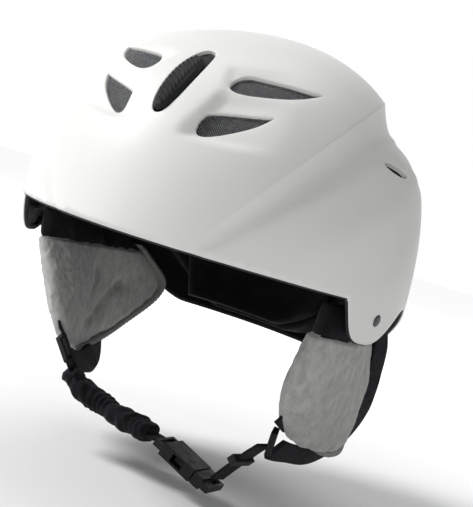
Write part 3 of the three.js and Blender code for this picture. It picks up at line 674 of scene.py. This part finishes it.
def build_shell():
    plane, drop, edges = [], [], []

    def add_line(points, sinks, closed):
        start = len(plane)
        plane.extend(points)
        drop.extend(sinks)
        n = len(points)
        edges.extend((start + i, start + (i + 1) % n) for i in range(n if closed else n - 1))
        return start

    # lower edge
    az = azimuths_round((0, 60, 1.1), (60, 72, 0.45), (72, 98, 0.8), (98, 180, 1.2))
    edge_el = elevation_at(az, edge_height(az))
    border = disc(az, edge_el)
    add_line(border, [0] * len(border), True)
    # rims of the openings
    holes = []
    for outline, radius, wall, floor in openings:
        p, side = even_outline(outline, 1.0)
        loops = []
        for share in (1.0, 0.72, 0.45, 0.22, 0.0):
            d = radius * share
            a, e = directions_of(p + side * d)
            sink = radius - math.sqrt(max(radius ** 2 - (radius - d) ** 2, 0))
            loops.append(add_line(disc(a, e), [sink] * len(p), True))
        holes.append((loops[-1], len(p), disc(*directions_of(p)), radius, wall, floor))
    # crease, with a row at each side so that it stays crisp
    for sign in (1, -1):
        a = np.arange(18.6, 128, 0.9) * sign

        def under(e):
            return below_crease(to_worn(polar(a, e)) * dome_radius(polar(a, e))[:, None]) > 0

        crease = halved(elevation_at(a, edge_height(a)), np.full(a.shape, 84.0), 24, under)
        for shift in (-0.5, 0, 0.5):
            add_line(disc(a, crease + shift), [0] * len(a), False)
    fixed = np.array(plane)
    # fill
    fill = []
    for el in np.arange(-42, 89.5, 1.12):
        radius = np.linalg.norm(surface(np.array([0.0, 90, 180]), np.full(3, el)), axis=1).mean()
        n = max(int(2 * np.pi * radius * math.cos(math.radians(el)) / 2.5), 6)
        a = (np.arange(n) + 0.5 * (int(el * 10) % 2)) * 360 / n - 180
        fill.append(np.stack([a, np.full(n, el)], -1))
    fill = np.vstack(fill)
    fill = fill[surface(fill[:, 0], fill[:, 1])[:, 2] > edge_height(fill[:, 0]) + 1.4]
    q = disc(fill[:, 0], fill[:, 1])
    tree = kdtree.KDTree(len(fixed))
    for i, c in enumerate(fixed):
        tree.insert((c[0], c[1], 0), i)
    tree.balance()
    far = np.array([tree.find((c[0], c[1], 0))[2] > 0.62 for c in q])
    for _, _, ring, *_ in holes:
        far &= ~inside(ring, q)
    plane.extend(q[far])
    drop.extend([0] * int(far.sum()))
    verts, _, faces, origin, _, _ = delaunay_2d_cdt([Vector(c) for c in plane], edges, [], 0, 1e-6)
    flat = np.array([(v.x, v.y) for v in verts])
    sink = np.array([drop[o[0]] if o else 0.0 for o in origin])
    at = {}
    for new, olds in enumerate(origin):
        for old in olds:
            at[old] = new
    points = list(surface(*from_disc(flat), 0.0, sink))
    tri = np.array([tuple(f) for f in faces])
    middle = flat[tri].mean(axis=1)
    keep = inside(border, middle)
    for _, _, ring, *_ in holes:
        keep &= ~inside(ring, middle)
    faces_out = [tuple(t) for t in tri[keep]]
    slots = [0] * len(faces_out)

    def wall_down(above, ring, slot):
        """Joins the indexes in above to a new ring of points, and returns the new indexes."""
        n = len(above)
        here = list(range(len(points), len(points) + n))
        points.extend(ring)
        for i in range(n):
            j = (i + 1) % n
            faces_out.append((above[i], above[j], here[j], here[i]))
            slots.append(slot)
        return here

    for first, n, ring, radius, wall, floor in holes:
        above = [at[first + i] for i in range(n)]
        a, e = from_disc(flat[above])
        for t in (0.4, 1.0):
            above = wall_down(above, surface(a, e, 0.0, lerp(radius, wall, t)), 0)
        if floor:
            ca, ce = a.mean(), e.mean()
            for k in (0.8, 0.55, 0.3):
                above = wall_down(above, surface(ca + (a - ca) * k, ce + (e - ce) * k, 0.0, wall), 1)
            points.append(surface(np.array(ca), np.array(ce), 0.0, wall))
            for i in range(n):
                faces_out.append((above[i], above[(i + 1) % n], len(points) - 1))
                slots.append(1)
    used = sorted({i for f in faces_out for i in f})
    index = {old: new for new, old in enumerate(used)}
    obj = add_mesh("shell_outer_skin", [points[i] for i in used],
                   [tuple(index[i] for i in f) for f in faces_out], slots=slots)
    solid = obj.modifiers.new("thickness", "SOLIDIFY")
    solid.thickness = SKIN_THICK * MM
    solid.offset = -1
    solid.use_even_offset = False
    solid.material_offset = 1
    solid.material_offset_rim = 0
    return obj, slots


shell, shell_slots = build_shell()
top = max(range(len(shell.data.polygons)), key=lambda i: shell.data.polygons[i].center.z)
if shell.data.polygons[top].normal.z < 0:
    shell.data.flip_normals()
dress(shell, "shell", "helmet", stands_for=["outer_shell"])
shell.data.materials.append(LOOKS["grip"])
shell.data.polygons.foreach_set("material_index", shell_slots)


def dome_ring(az, height, depth):
    return surface(az, elevation_at(az, height, depth), depth)


def build_trim():
    az = azimuths_round((0, 60, 1.5), (60, 72, 0.5), (72, 98, 1.0), (98, 180, 1.5))
    h = edge_height(az)
    # a soft profile that wraps round the shell's lower edge, in depth and height about the edge
    profile = [(0.75, 0.5), (0.75, -0.3), (1.0, -0.8), (1.6, -1.0), (2.2, -0.9), (2.8, -0.5), (3.1, 0.2),
               (3.1, 1.8), (2.6, 2.2), (2.1, 1.0), (1.2, 0.7)]
    rows = []
    for depth, dz in profile:
        el = elevation_at(az, h + dz, 0.0)
        rows.append(surface(az, el, 0.0, depth))
    pts = np.vstack(rows)
    n = len(az)
    faces = grid_faces(len(profile), n, wrap=True)
    last = (len(profile) - 1) * n
    faces += [(last + c, last + (c + 1) % n, (c + 1) % n, c) for c in range(n)]
    return add_mesh("edge_trim", pts, faces)


dress(build_trim(), "trim", "helmet", stands_for=["shell_edge_trim"])


def pocket(az, el):
    """Where the liner's outside is sunk to clear the shutter and the vent meshes."""
    a = 1 - smoothstep(np.abs(az), 76, 84)
    return 5.0 * a * smoothstep(el, 37, 40) * (1 - smoothstep(el, 77, 80))


def build_liner():
    az = np.arange(-180, 180, 2.4)
    foot = foam_height(az)
    rows = []
    el_out = elevation_at(az, foot + 4, LINER_TOP)
    for t in np.linspace(1, 0, 44):
        el = lerp(el_out, LINER_CROWN, t)
        rows.append(surface(az, el, LINER_TOP + pocket(az, el)))
    corner = 4.0
    for t in np.linspace(15, 90, 5):
        a = math.radians(t)
        rows.append(dome_ring(az, foot + corner * (1 - math.sin(a)), LINER_TOP + corner * (1 - math.cos(a))))
    for depth in np.linspace(LINER_TOP + corner + 2, LINER_BOTTOM - 6, 6):
        rows.append(dome_ring(az, foot, depth))
    for t in np.linspace(0, 90, 6):
        a = math.radians(t)
        rows.append(dome_ring(az, foot + 5 * (1 - math.cos(a)), LINER_BOTTOM - 5 + 5 * math.sin(a)))
    el_in = elevation_at(az, foot + 5, LINER_BOTTOM)
    for t in np.linspace(0.04, 1, 34):
        rows.append(surface(az, lerp(el_in, LINER_CROWN, t), LINER_BOTTOM))
    return add_mesh("foam_liner", np.vstack(rows), tube_faces(len(rows), len(az)))


dress(build_liner(), "foam", "helmet", stands_for=["eps_liner"])


# ---- vent meshes ----------------------------------------------------------------------------
WIRE_PITCH, WIRE_RADIUS, WIRE_RISE = 1.35, 0.2, 0.22
WIRE_DEPTH = 2.4                 # close under the shell, so that the shutter clears the wires as it slides
WIRE_MARGIN = 2.2                # how far the mesh reaches past its vent


def wire_mesh(name, outline):
    """A woven diamond mesh that follows the shell just under a vent."""
    p, side = even_outline(outline, 1.0)
    poly = disc(*directions_of(p + side * WIRE_MARGIN))
    centre = p.mean(axis=0)
    n = normals(*directions_of(centre))
    x = unit(np.cross([0, 0, 1.0], n))
    y = np.cross(n, x)
    reach = np.abs((p - centre) @ np.stack([x, y], -1)).max() * 1.5
    points, faces = [], []
    for family, (u, v) in enumerate(((x + y * 1.25, x - y * 1.25), (x - y * 1.25, x + y * 1.25))):
        u, v = unit(u), unit(v)
        across = unit(np.cross(n, u))
        for k in range(int(-2 * reach / WIRE_PITCH), int(2 * reach / WIRE_PITCH) + 1):
            s = np.arange(-2 * reach, 2 * reach, 1.1)
            line = centre + across * (k * WIRE_PITCH) + u * s[:, None] + n * 30
            la, le = directions_of(line)
            hit = inside(poly, disc(la, le))
            runs = np.flatnonzero(np.diff(np.concatenate([[0], hit.astype(int), [0]])))
            for start, stop in zip(runs[::2], runs[1::2]):
                if stop - start < 3:
                    continue
                over = np.cos(np.pi * (s[start:stop] / WIRE_PITCH + family)) * (1 if family else -1)
                path = surface(la[start:stop], le[start:stop], WIRE_DEPTH + WIRE_RISE * over)
                t = unit(np.gradient(path, axis=0))
                o = unit(np.cross(t, np.cross(n, t)))
                w = np.cross(t, o)
                base = len(points)
                for ang in (45, 135, 225, 315):
                    c, sn = math.cos(math.radians(ang)), math.sin(math.radians(ang))
                    points.extend(path + WIRE_RADIUS * (o * c + w * sn))
                m = stop - start
                for ring in range(4):
                    nxt = (ring + 1) % 4
                    for i in range(m - 1):
                        faces.append((base + ring * m + i, base + ring * m + i + 1,
                                      base + nxt * m + i + 1, base + nxt * m + i))
                faces.append(tuple(base + r * m for r in range(4)))
                faces.append(tuple(base + r * m + m - 1 for r in (3, 2, 1, 0)))
    return add_mesh(name, points, faces)


for row, outline in (("lower", VENT_LOWER), ("upper", VENT_UPPER)):
    for hand in SIDES:
        wires = wire_mesh(f"wire_mesh_{hand}_{row}", vent_outline(outline, hand == "right"))
        dress(wires, "mesh", "helmet", stands_for=[f"vent_mesh_{hand}_{row}"])


# ---- vent slider ----------------------------------------------------------------------------
def build_slider():
    """A leaf-shaped rubber grip with a smooth rim and slanting ribs, crowned along its middle."""
    low, high, half = 47.5, 66.4, 6.1
    rows, cols = 190, 25
    points = []
    top_depth, base_depth = -1.5, 1.5
    el = np.linspace(low, high, rows)
    t = (el - (low + high) / 2) / ((high - low) / 2)
    width = half * np.clip(1 - t ** 2, 0.0, 1) ** 0.425
    across = np.linalg.norm(surface(0 * el, el), axis=-1) * np.cos(np.radians(el))
    for r in range(rows):
        for c in range(cols):
            s = -1 + 2 * c / (cols - 1)
            x = width[r] * s
            az = math.degrees(math.atan2(x, across[r]))
            edge = min((1 - abs(s)) * width[r], (el[r] - low) * 2.2, (high - el[r]) * 2.2)
            round_off = 1.6 * (1 - min(max(edge, 0) / 1.6, 1)) ** 2
            along = smoothstep(t[r], -0.95, -0.8) * (1 - smoothstep(t[r], 0.84, 0.97))
            ribbed = smoothstep(edge, 0.7, 1.5) * along * (1 - smoothstep(x, 2.3, 3.6))
            phase = ((el[r] - low) * 2.2 + 0.55 * x + 0.05 * x * x) / 2.9
            saw = phase % 1.0
            rib = smoothstep(saw, 0.0, 0.18) * (1 - smoothstep(saw, 0.30, 0.9))
            crown = 0.7 * (1 - s * s) + rib * ribbed
            points.append((az, el[r], top_depth + round_off - crown))
    arr = np.array(points)
    top = surface(arr[:, 0], arr[:, 1], 0.0, arr[:, 2])
    under = surface(arr[:, 0], arr[:, 1], 0.0, base_depth)
    n = rows * cols
    faces, rim = sheet_faces(rows, cols)
    for a, b in zip(rim, rim[1:] + rim[:1]):
        faces.append((a, b, b + n, a + n))
    return add_mesh("slider_grip", np.vstack([top, under]), faces)


dress(build_slider(), "grip", "vent_control", stands_for=["vent_slider"])


# ---- comfort lining -------------------------------------------------------------------------
def rounded(u, edge):
    """From 0 at the ends of 0 to 1 up a quarter round to 1 beyond edge."""
    t = np.clip(np.minimum(u, 1 - u) / edge, 0, 1)
    return (t * (2 - t)) ** 0.5


def soft_block(name, outer, inner, nu, nv, edge, crown=2.5, wrinkle=0.5, seed=1):
    """A stuffed pad between two surfaces given as functions of (u, v), pillowed on the inner side."""
    u, v = np.meshgrid(np.linspace(0, 1, nu), np.linspace(0, 1, nv), indexing="ij")
    u, v = u.ravel(), v.ravel()
    a, b = outer(u, v), inner(u, v)
    thick = np.linalg.norm(b - a, axis=1, keepdims=True)
    way = (b - a) / thick
    fill = rounded(u, edge) * rounded(v, edge * 1.6)
    bulge = crown * np.sin(np.pi * u) ** 0.5 * np.sin(np.pi * v) ** 0.5
    mid = a + (b - a) * 0.35
    soft = wrinkle * wobble(b, 0.06, seed)
    top = mid + way * ((thick[:, 0] * 0.65) * fill + (bulge + soft) * fill)[:, None]
    back = mid - way * (thick[:, 0] * 0.35 * np.clip(fill, 0, 1))[:, None]
    faces, border = sheet_faces(nu, nv)
    merge = {i + nu * nv: i for i in border}
    faces = [tuple(merge.get(i, i) for i in f) for f in faces]
    return add_mesh(name, np.vstack([top, back]), faces)


def band(az0, az1, rise):
    """A strip of the dome above the foam's edge, as a function of depth, u and v."""
    def at(depth, u, v):
        az = lerp(az0, az1, u)
        foot = elevation_at(az, foam_height(az) + 3.0, depth)
        return surface(az, foot + rise * v, depth)
    return at


PAD_TOP = LINER_BOTTOM + 1.2
PAD_BOTTOM = PAD_TOP + 9.5


def crown_patch(depth, u, v):
    p = np.stack([lerp(-26, 26, u), lerp(-20, 62, v), np.full(u.shape, 118.0)], -1)
    return surface(*directions_of(p), depth)


def lining_pad(name, node, at, nu, nv, **options):
    obj = soft_block(name, partial(at, PAD_TOP), partial(at, PAD_BOTTOM), nu, nv, **options)
    dress(obj, "lining", "helmet", stands_for=[node])


lining_pad("brow_cushion", "brow_pad", band(-58, 58, 20), 90, 22, edge=0.05)
lining_pad("neck_cushion", "neck_pad", band(144, 216, 22), 64, 24, edge=0.07, wrinkle=1.0, seed=4)
lining_pad("crown_cushion", "crown_pad", crown_patch, 40, 60, edge=0.09, seed=6)
for hand, side in SIDES.items():
    lining_pad(f"side_cushion_{hand}", f"side_pad_{hand}", band(64 * side, 104 * side, 24), 44, 26,
               edge=0.1, seed=8)


# ---- ear pads -------------------------------------------------------------------------------
EAR_OUTLINE = [(-43, -1), (-45, -20), (-43, -46), (-34, -69), (-15, -86), (8, -91), (30, -88), (52, -77),
               (70, -60), (78, -46), (75, -35), (58, -17), (40, -7), (20, -1), (-15, -1)]
PLUSH_OUTER, STRAP_SPACE, PLUSH_INNER, EAR_INSET = 4.8, 2.6, 7.0, 8.5
EAR_MIDDLE = np.array([18.0, -46.0])
EAR_PIVOT = np.array([96.0, 18.0, -20.0])
HANG = {"left": 0.0, "right": 12.0}
PAINTED_SHADE_LINE = -22.5               # above this height a pad is sunk a little and given the black lining material, as painted shade under the shell's tab
PUFF_FRAMES = 20


def side_reach(y):
    reach = np.where(y < 0, 128.0, 125.0)
    return HALF_WIDTH * np.maximum(1 - np.abs(y / reach) ** 1.9, 0.02) ** (1 / 1.9)


def ear_face(y, z, inset):
    lean = lerp(0.27, 0, smoothstep(y, -45, 30)) * np.maximum(0, -20 - z)
    bulge = 6 * smoothstep(y, -10, 40) * smoothstep(-z, 18, 50) * (1 - smoothstep(y, 55, 84))
    return side_reach(y) - EAR_INSET - lean + bulge - inset


def swung(p, hand, degrees):
    """Points turned about an ear pad's hinge line."""
    pivot = EAR_PIVOT * np.array([SIDES[hand], 1, 1])
    q = p - pivot
    c, s = math.cos(math.radians(degrees)), math.sin(math.radians(degrees))
    x = q[:, 0] * c + q[:, 2] * s
    z = -q[:, 0] * s + q[:, 2] * c
    return np.stack([x, q[:, 1], z], -1) + pivot


def hang(points, hand):
    """Puts points of an ear pad drawn upright on the left into place on either side."""
    p = np.array(points, float)
    p[:, 0] *= SIDES[hand]
    return swung(p, hand, -HANG[hand])


OUTLINE = catmull(EAR_OUTLINE, 120, closed=True)


def plate_points(inset0, inset1, crown_out, crown_in):
    """Rings of a stuffed plate between two insets, from the middle of one face round to the other."""
    rings = []
    half = (inset1 - inset0) / 2
    mid = (inset0 + inset1) / 2
    rel = OUTLINE - EAR_MIDDLE
    for t in np.linspace(0.06, 0.84, 15):
        rings.append((t, inset0 - crown_out * (1 - t ** 3)))
    for a in np.linspace(-75, 75, 11):
        k = math.radians(a)
        rings.append((0.87 + 0.13 * math.cos(k), mid + half * math.sin(k)))
    for t in np.linspace(0.84, 0.06, 15):
        rings.append((t, inset1 + crown_in * (1 - t ** 3)))
    out = []
    for scale, inset in rings:
        y, z = (EAR_MIDDLE + rel * scale).T
        z = np.where(z > -1.5, -1.5 - (z + 1.5) * 0.2, z)
        out.append(np.stack([ear_face(y, z, inset), y, z], -1))
    return out


def plate(name, hand, rings):
    return add_mesh(name, hang(np.vstack(rings), hand), tube_faces(len(rings), len(OUTLINE)))


def apply_all(obj):
    """Bakes an object's modifiers into its mesh."""
    graph = bpy.context.evaluated_depsgraph_get()
    mesh = bpy.data.meshes.new_from_object(obj.evaluated_get(graph))
    obj.modifiers.clear()
    old = obj.data
    obj.data = mesh
    bpy.data.meshes.remove(old)
    for p in mesh.polygons:
        p.use_smooth = True


def remeshed(obj, size):
    m = obj.modifiers.new("voxels", "REMESH")
    m.mode = "VOXEL"
    m.voxel_size = size * MM
    m.use_smooth_shade = True
    apply_all(obj)


def puff(obj, cap):
    """Inflates a stuffed piece as cloth and keeps each point within cap millimetres of where it was."""
    rest = np.array([v.co for v in obj.data.vertices])
    cloth = obj.modifiers.new("cloth", "CLOTH")
    s = cloth.settings
    s.quality = 5
    s.mass = 0.25
    s.tension_stiffness = s.compression_stiffness = 18
    s.shear_stiffness = 8
    s.bending_stiffness = 0.4
    s.use_pressure = True
    s.uniform_pressure_force = 4.0
    s.effector_weights.gravity = 0
    cloth.collision_settings.use_collision = False
    cloth.point_cache.frame_start, cloth.point_cache.frame_end = 1, PUFF_FRAMES
    scene = bpy.context.scene
    for f in range(1, PUFF_FRAMES + 1):
        scene.frame_set(f)
    graph = bpy.context.evaluated_depsgraph_get()
    puffed = obj.evaluated_get(graph).to_mesh()
    now = np.array([v.co for v in puffed.vertices])
    obj.evaluated_get(graph).to_mesh_clear()
    obj.modifiers.clear()
    scene.frame_set(1)
    move = now - rest
    size = np.linalg.norm(move, axis=1, keepdims=True)
    move = move * np.minimum(1, cap * MM / np.maximum(size, 1e-9))
    obj.data.vertices.foreach_set("co", (rest + move).ravel())
    obj.data.update()


def subdivided(obj):
    m = obj.modifiers.new("finer", "SUBSURF")
    m.levels = m.render_levels = 1
    apply_all(obj)


def pushed(obj, amount):
    """Moves each vertex along its normal by amount(point, normal), both as arrays in millimetres."""
    mesh = obj.data
    co = np.zeros(len(mesh.vertices) * 3)
    no = np.zeros(len(mesh.vertices) * 3)
    mesh.vertices.foreach_get("co", co)
    mesh.vertices.foreach_get("normal", no)
    p, n = co.reshape(-1, 3) / MM, no.reshape(-1, 3)
    p = p + n * amount(p, n)[:, None]
    mesh.vertices.foreach_set("co", (p * MM).ravel())
    mesh.update()


def line_distance(p, line):
    """Distance from points to a polyline."""
    best = np.full(len(p), 1e9)
    for a, b in zip(line[:-1], line[1:]):
        ab = b - a
        t = np.clip(((p - a) @ ab) / (ab @ ab), 0, 1)
        best = np.minimum(best, np.linalg.norm(p - (a + t[:, None] * ab), axis=1))
    return best


def pile(p, seed):
    """The clumped, combed look of a plush pile."""
    stretched = p * np.array([1.0, 1.0, 0.55])
    return 0.55 * wobble(stretched, 0.16, seed) + 0.38 * wobble(stretched, 0.42, seed + 1) \
        + 0.22 * wobble(stretched, 0.95, seed + 2)


def upright(p, hand):
    """Inverse of hang: points in place, back on the upright left pad."""
    out = swung(p, hand, HANG[hand])
    out[:, 0] *= SIDES[hand]
    return out


def fold_line():
    y = np.array([26, 22, 16, 12, 14, 26, 44])
    z = np.array([-6, -24, -44, -60, -72, -62, -44])
    curve = catmull(np.stack([y, z], -1), 40)
    return np.stack([ear_face(curve[:, 0], curve[:, 1], PLUSH_OUTER + STRAP_SPACE + PLUSH_INNER + 1),
                     curve[:, 0], curve[:, 1]], -1)


def ear_plush(hand, seed):
    """The plush body of an ear pad, with a fold on its inner face and its top painted black as shade under
    the shell's tab.
    """
    total = PLUSH_OUTER + STRAP_SPACE + PLUSH_INNER
    obj = plate(f"ear_plush_{hand}", hand, plate_points(0.4, total - 0.6, 0.8, 1.2))
    remeshed(obj, 4.0)
    puff(obj, 3.5)
    subdivided(obj)
    groove = fold_line()
    pushed(obj, lambda p, n: -4.2 * np.exp(-(line_distance(upright(p, hand), groove) / 3.6) ** 2))
    subdivided(obj)

    def nap(p, n):
        z = upright(p, hand)[:, 2]
        furry = 1 - smoothstep(z, PAINTED_SHADE_LINE - 1.5, PAINTED_SHADE_LINE + 0.5)
        return pile(p, seed) * furry - 1.3 * (1 - furry) - 0.8 * np.exp(-((z - PAINTED_SHADE_LINE) / 1.2) ** 2)

    pushed(obj, nap)
    dress(obj, "plush", f"ear_pad_{hand}", stands_for=(f"ear_outer_layer_{hand}", f"ear_cushion_{hand}"))
    # painted shade: the pad's top above the shade line takes the black lining material in place of the shadow
    # under the shell's tab
    obj.data.materials.append(LOOKS["lining"])
    middle = upright(np.array([f.center for f in obj.data.polygons]) / MM, hand)
    obj.data.polygons.foreach_set("material_index", (middle[:, 2] > PAINTED_SHADE_LINE).astype(int).tolist())


ear_plush("left", 11)
ear_plush("right", 21)


def build_knit(hand):
    """A ribbed knit gusset along the rear and lower edge of the pad."""
    path = catmull(EAR_OUTLINE[5:12], 150)
    t = unit(np.gradient(path, axis=0))
    out = np.stack([-t[:, 1], t[:, 0]], -1)
    out = out * np.sign(np.sum(out * (path - EAR_MIDDLE), axis=1))[:, None]
    run = lengths_along(path)
    inner = PLUSH_OUTER + STRAP_SPACE + PLUSH_INNER - 4
    section = []
    for a in np.linspace(0, 360, 28, endpoint=False):
        k = math.radians(a)
        c, s = math.cos(k), math.sin(k)
        inset = (1 + inner) / 2 + (inner - 1) / 2 * math.copysign(abs(c) ** 0.6, c)
        section.append((inset, 1.5 * math.copysign(abs(s) ** 0.8, s)))
    pts, uvs = [], []
    ends = np.clip(np.minimum(run, run[-1] - run) / 6, 0, 1) ** 0.5
    for k in range(len(path)):
        for inset, lift in section:
            rib = 0.5 * math.cos(2 * math.pi * run[k] / 2.4) * (1 if lift > 0 else 0.2)
            h = (-0.2 + (lift * 1.6 + rib) * ends[k]) - 2.2 * (1 - ends[k])
            q = path[k] + out[k] * h
            pts.append((ear_face(path[k, 0], path[k, 1], inset), q[0], q[1]))
            uvs.append((inset, run[k]))
    return add_mesh(f"ear_knit_gusset_{hand}", hang(pts, hand), tube_faces(len(path), len(section)), uvs=uvs)


for hand in SIDES:
    dress(build_knit(hand), "knit", f"ear_pad_{hand}", stands_for=[f"ear_knit_edge_{hand}"])


# ---- webbing --------------------------------------------------------------------------------
WEB_WIDTH, WEB_THICK = 14, 1.6
FRONT_ROUTE = [(103.6, -24, -10.5), (99.5, -23.5, -16), (94.5, -23.2, -22.0), (89.6, -23, -40),
               (85.2, -22.8, -60), (83.1, -22.6, -69.5), (81.2, -25.6, -73.6), (78.6, -27.5, -78.5)]
REAR_ROUTE = [(98, 47, -4), (101.2, 46, -26), (102.6, 48, -48), (100.4, 51, -68), (96.4, 45, -86),
              (89, 26, -96), (82, 4, -96.5), (77.6, -16, -93.5)]
REAR_FACES = [(1, 0, 0), (1, -0.3, 0), (1, -0.4, 0), (1, -0.1, -0.2), (1, -0.1, -0.5), (0.8, -0.4, -0.6),
              (0.7, -0.6, -0.6), (0.8, -0.4, -0.5)]


def webbing(name, node, body, route, facing, first, last, *sizes):
    """A ribbon along a route, dressed as webbing. The bodies, and the first and last points, are not used."""
    strip = ribbon(name, route, facing, *sizes)
    dress(strip, "webbing", stands_for=[node])
    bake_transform(strip)


for hand in SIDES:
    bodies = ("helmet", f"ear_pad_{hand}")
    origin = hang([(0, 0, 0)], hand)
    webbing(f"front_webbing_{hand}", f"front_strap_{hand}", bodies, hang(FRONT_ROUTE, hand),
            hang([(1, 0, 0), (1, -0.2, 0)], hand) - origin, 0, 2, WEB_WIDTH, WEB_THICK, 90, 0.2, 2)
    webbing(f"rear_webbing_{hand}", f"rear_strap_{hand}", bodies, hang(REAR_ROUTE, hand),
            hang(REAR_FACES, hand) - origin, 0, 1, 16, 3.0, 170, 1.8, 5)

CHIN_ROUTE = [(-60, -26, -87), (-51, -21, -99.5), (-30, -15.5, -108), (-8, -17, -110.5), (8, -18.4, -112),
              (13.8, -18.9, -112.7)]
CHIN_FACES = [(0.3, 0.1, 1), (0.1, 0, 1), (0, 0, 1), (0, 0, 1)]
webbing("chin_webbing_right", "chin_strap_right", ("ear_pad_right", "helmet"), CHIN_ROUTE, CHIN_FACES, 0, 2,
        WEB_WIDTH, WEB_THICK, 110, 0.4, 7)

NEAR_ROUTE = [(51.5, -21.2, -119.4), (57.6, -21.4, -110.4), (65.5, -23.2, -100), (73.2, -25.2, -91.0)]
webbing("chin_webbing_left", "chin_strap_left", ("helmet", "ear_pad_left"), NEAR_ROUTE,
        [(0.75, -0.2, -0.6)] * 2, 1, 3, WEB_WIDTH, 1.7, 50, 0.6, 9)


SLEEVE_HALF, SLEEVE_DEPTH = 10.4, 5.6


def build_sleeve():
    """The padded tube over the chin webbing: soft, with gathers across it."""
    path = catmull(CHIN_ROUTE, 200)[18:176]
    _, out, across = frames_along(path, CHIN_FACES)
    steps, n = len(path), 40
    run = lengths_along(path)
    pts, uvs = [], []
    for k in range(steps):
        end = min(run[k], run[-1] - run[k])
        pinch = 1 - 0.22 * math.exp(-end / 2.2)
        for i in range(n):
            a = 2 * math.pi * i / n
            c, s = math.cos(a), math.sin(a)
            x = SLEEVE_HALF * math.copysign(abs(c) ** 0.75, c)
            z = SLEEVE_DEPTH * math.copysign(abs(s) ** 0.9, s)
            skew = run[k] + 0.25 * x
            gather = 0.75 * math.sin(2 * math.pi * skew / 17 + 2.2 * math.sin(skew * 0.13)) \
                + 0.30 * math.sin(2 * math.pi * skew / 5.3 + 2.5 * math.sin(skew * 0.21) + 0.8 * z)
            fold = noise.noise(Vector((skew * 0.09, x * 0.16, z * 0.2 + 4))) * 2.2
            k_out = (1 + (gather + fold) * 0.09) * pinch
            pts.append(path[k] + across[k] * x * k_out + out[k] * z * k_out * (1 + 0.07 * gather))
            uvs.append((x, run[k]))
    return add_mesh("chin_padded_sleeve", pts, tube_faces(steps, n), uvs=uvs)


sleeve = dress(build_sleeve(), "lining", "helmet", stands_for=["chin_sleeve"])

# ---- hard parts carried over from the CAD model ---------------------------------------------
slot_of = {s["node"]: s["material_slot"] for s in frame["record"]["subparts"]}
for node, obj in frame["nodes"].items():
    obj.data.materials.clear()
    obj.data.materials.append(LOOKS[slot_of[node]])
BEVELS = {"buckle_socket": 0.7, "buckle_plug": 0.7, "buckle_prong_front": 0.4, "buckle_prong_rear": 0.4,
          "strap_keeper": 0.5, "goggle_snap": 0.4, "goggle_loop_base": 0.8}
for hand in SIDES:
    BEVELS |= {f"strap_divider_{hand}": 0.6, f"rear_anchor_{hand}": 0.6, f"strap_rivet_{hand}": 0.35,
               f"ear_snap_front_{hand}": 0.3, f"ear_snap_rear_{hand}": 0.3}
for node, width in BEVELS.items():
    bevelled(frame["nodes"][node], width)

# ---- studio ---------------------------------------------------------------------------------
# Metres from here on.
FLOOR_HALF, FLOOR_Z = 12.0, -0.1385
floor_mesh = bpy.data.meshes.new("floor")
corners = [(x * FLOOR_HALF, y * FLOOR_HALF, FLOOR_Z) for x, y in ((-1, -1), (1, -1), (1, 1), (-1, 1))]
floor_mesh.from_pydata(corners, [], [(0, 1, 2, 3)])
floor = bpy.data.objects.new("floor", floor_mesh)
bpy.context.scene.collection.objects.link(floor)
floor_look = Look("pale_floor", (0.92, 0.92, 0.92), 0.9)
floor_look.rough(floor_look.noise(4, 2), 0.85, 0.95)
far_off = floor_look.nodes.new("ShaderNodeVectorMath")
far_off.operation = "LENGTH"
floor_look.links.new(floor_look.coords.outputs["Object"], far_off.inputs[0])
backdrop = floor_look.span(far_off.outputs["Value"], 0.0, 0.6, 0.25, 0.9)
floor_look.links.new(backdrop, floor_look.shader.inputs["Emission Strength"])
floor_look.shader.inputs["Emission Color"].default_value = (1, 1, 1, 1)
floor.data.materials.append(floor_look.mat)

world = bpy.data.worlds.new("studio")
world.use_nodes = True
tree = world.node_tree
way = tree.nodes.new("ShaderNodeTexCoord")
dot = tree.nodes.new("ShaderNodeVectorMath")
dot.operation = "DOT_PRODUCT"
dot.inputs[1].default_value = (-0.39, 0.92, 0.0)
tree.links.new(way.outputs["Generated"], dot.inputs[0])
glow = tree.nodes.new("ShaderNodeMapRange")
set_inputs(glow, {"From Min": 0.72, "From Max": 0.90, "To Min": 0.33, "To Max": 1.0})
tree.links.new(dot.outputs["Value"], glow.inputs["Value"])
tree.links.new(glow.outputs["Result"], tree.nodes["Background"].inputs["Strength"])
tree.nodes["Background"].inputs["Color"].default_value = (1, 1, 1, 1)
bpy.context.scene.world = world


def area_light(name, at, size, power):
    """A round soft light aimed at the origin."""
    data = bpy.data.lights.new(name, "AREA")
    data.shape = "DISK"
    data.size = size
    data.energy = power
    obj = bpy.data.objects.new(name, data)
    obj.location = at
    obj.rotation_euler = (-Vector(at)).to_track_quat("-Z", "Y").to_euler()
    bpy.context.scene.collection.objects.link(obj)


area_light("key", (-1.3, -0.85, 1.35), 0.8, 38)
area_light("top", (-0.2, 0.5, 1.9), 1.6, 7)

# The camera is level with the helmet, at its left front. toward points from the origin to the camera.
CAMERA_DISTANCE = 0.62
camera_data = bpy.data.cameras.new("camera")
camera_data.sensor_fit = "HORIZONTAL"
camera_data.sensor_width = 36
camera_data.lens = 79.46
camera_data.shift_x = 0.0459
camera_data.shift_y = -0.0045
camera_data.clip_start = 0.01
camera_data.clip_end = 100
camera = bpy.data.objects.new("camera", camera_data)
toward = Vector((0.3922, -0.9187, 0.0464)).normalized()
right = Vector((0.8725, 0.3875, 0.2976)).normalized()
up = toward.cross(right).normalized()
right = up.cross(toward).normalized()
turn = Matrix((right, up, toward)).transposed().to_4x4()
camera.matrix_world = Matrix.Translation(toward * CAMERA_DISTANCE) @ turn
bpy.context.scene.collection.objects.link(camera)
bpy.context.scene.camera = camera
bpy.context.scene.view_settings.view_transform = "Standard"

bpy.context.view_layer.update()
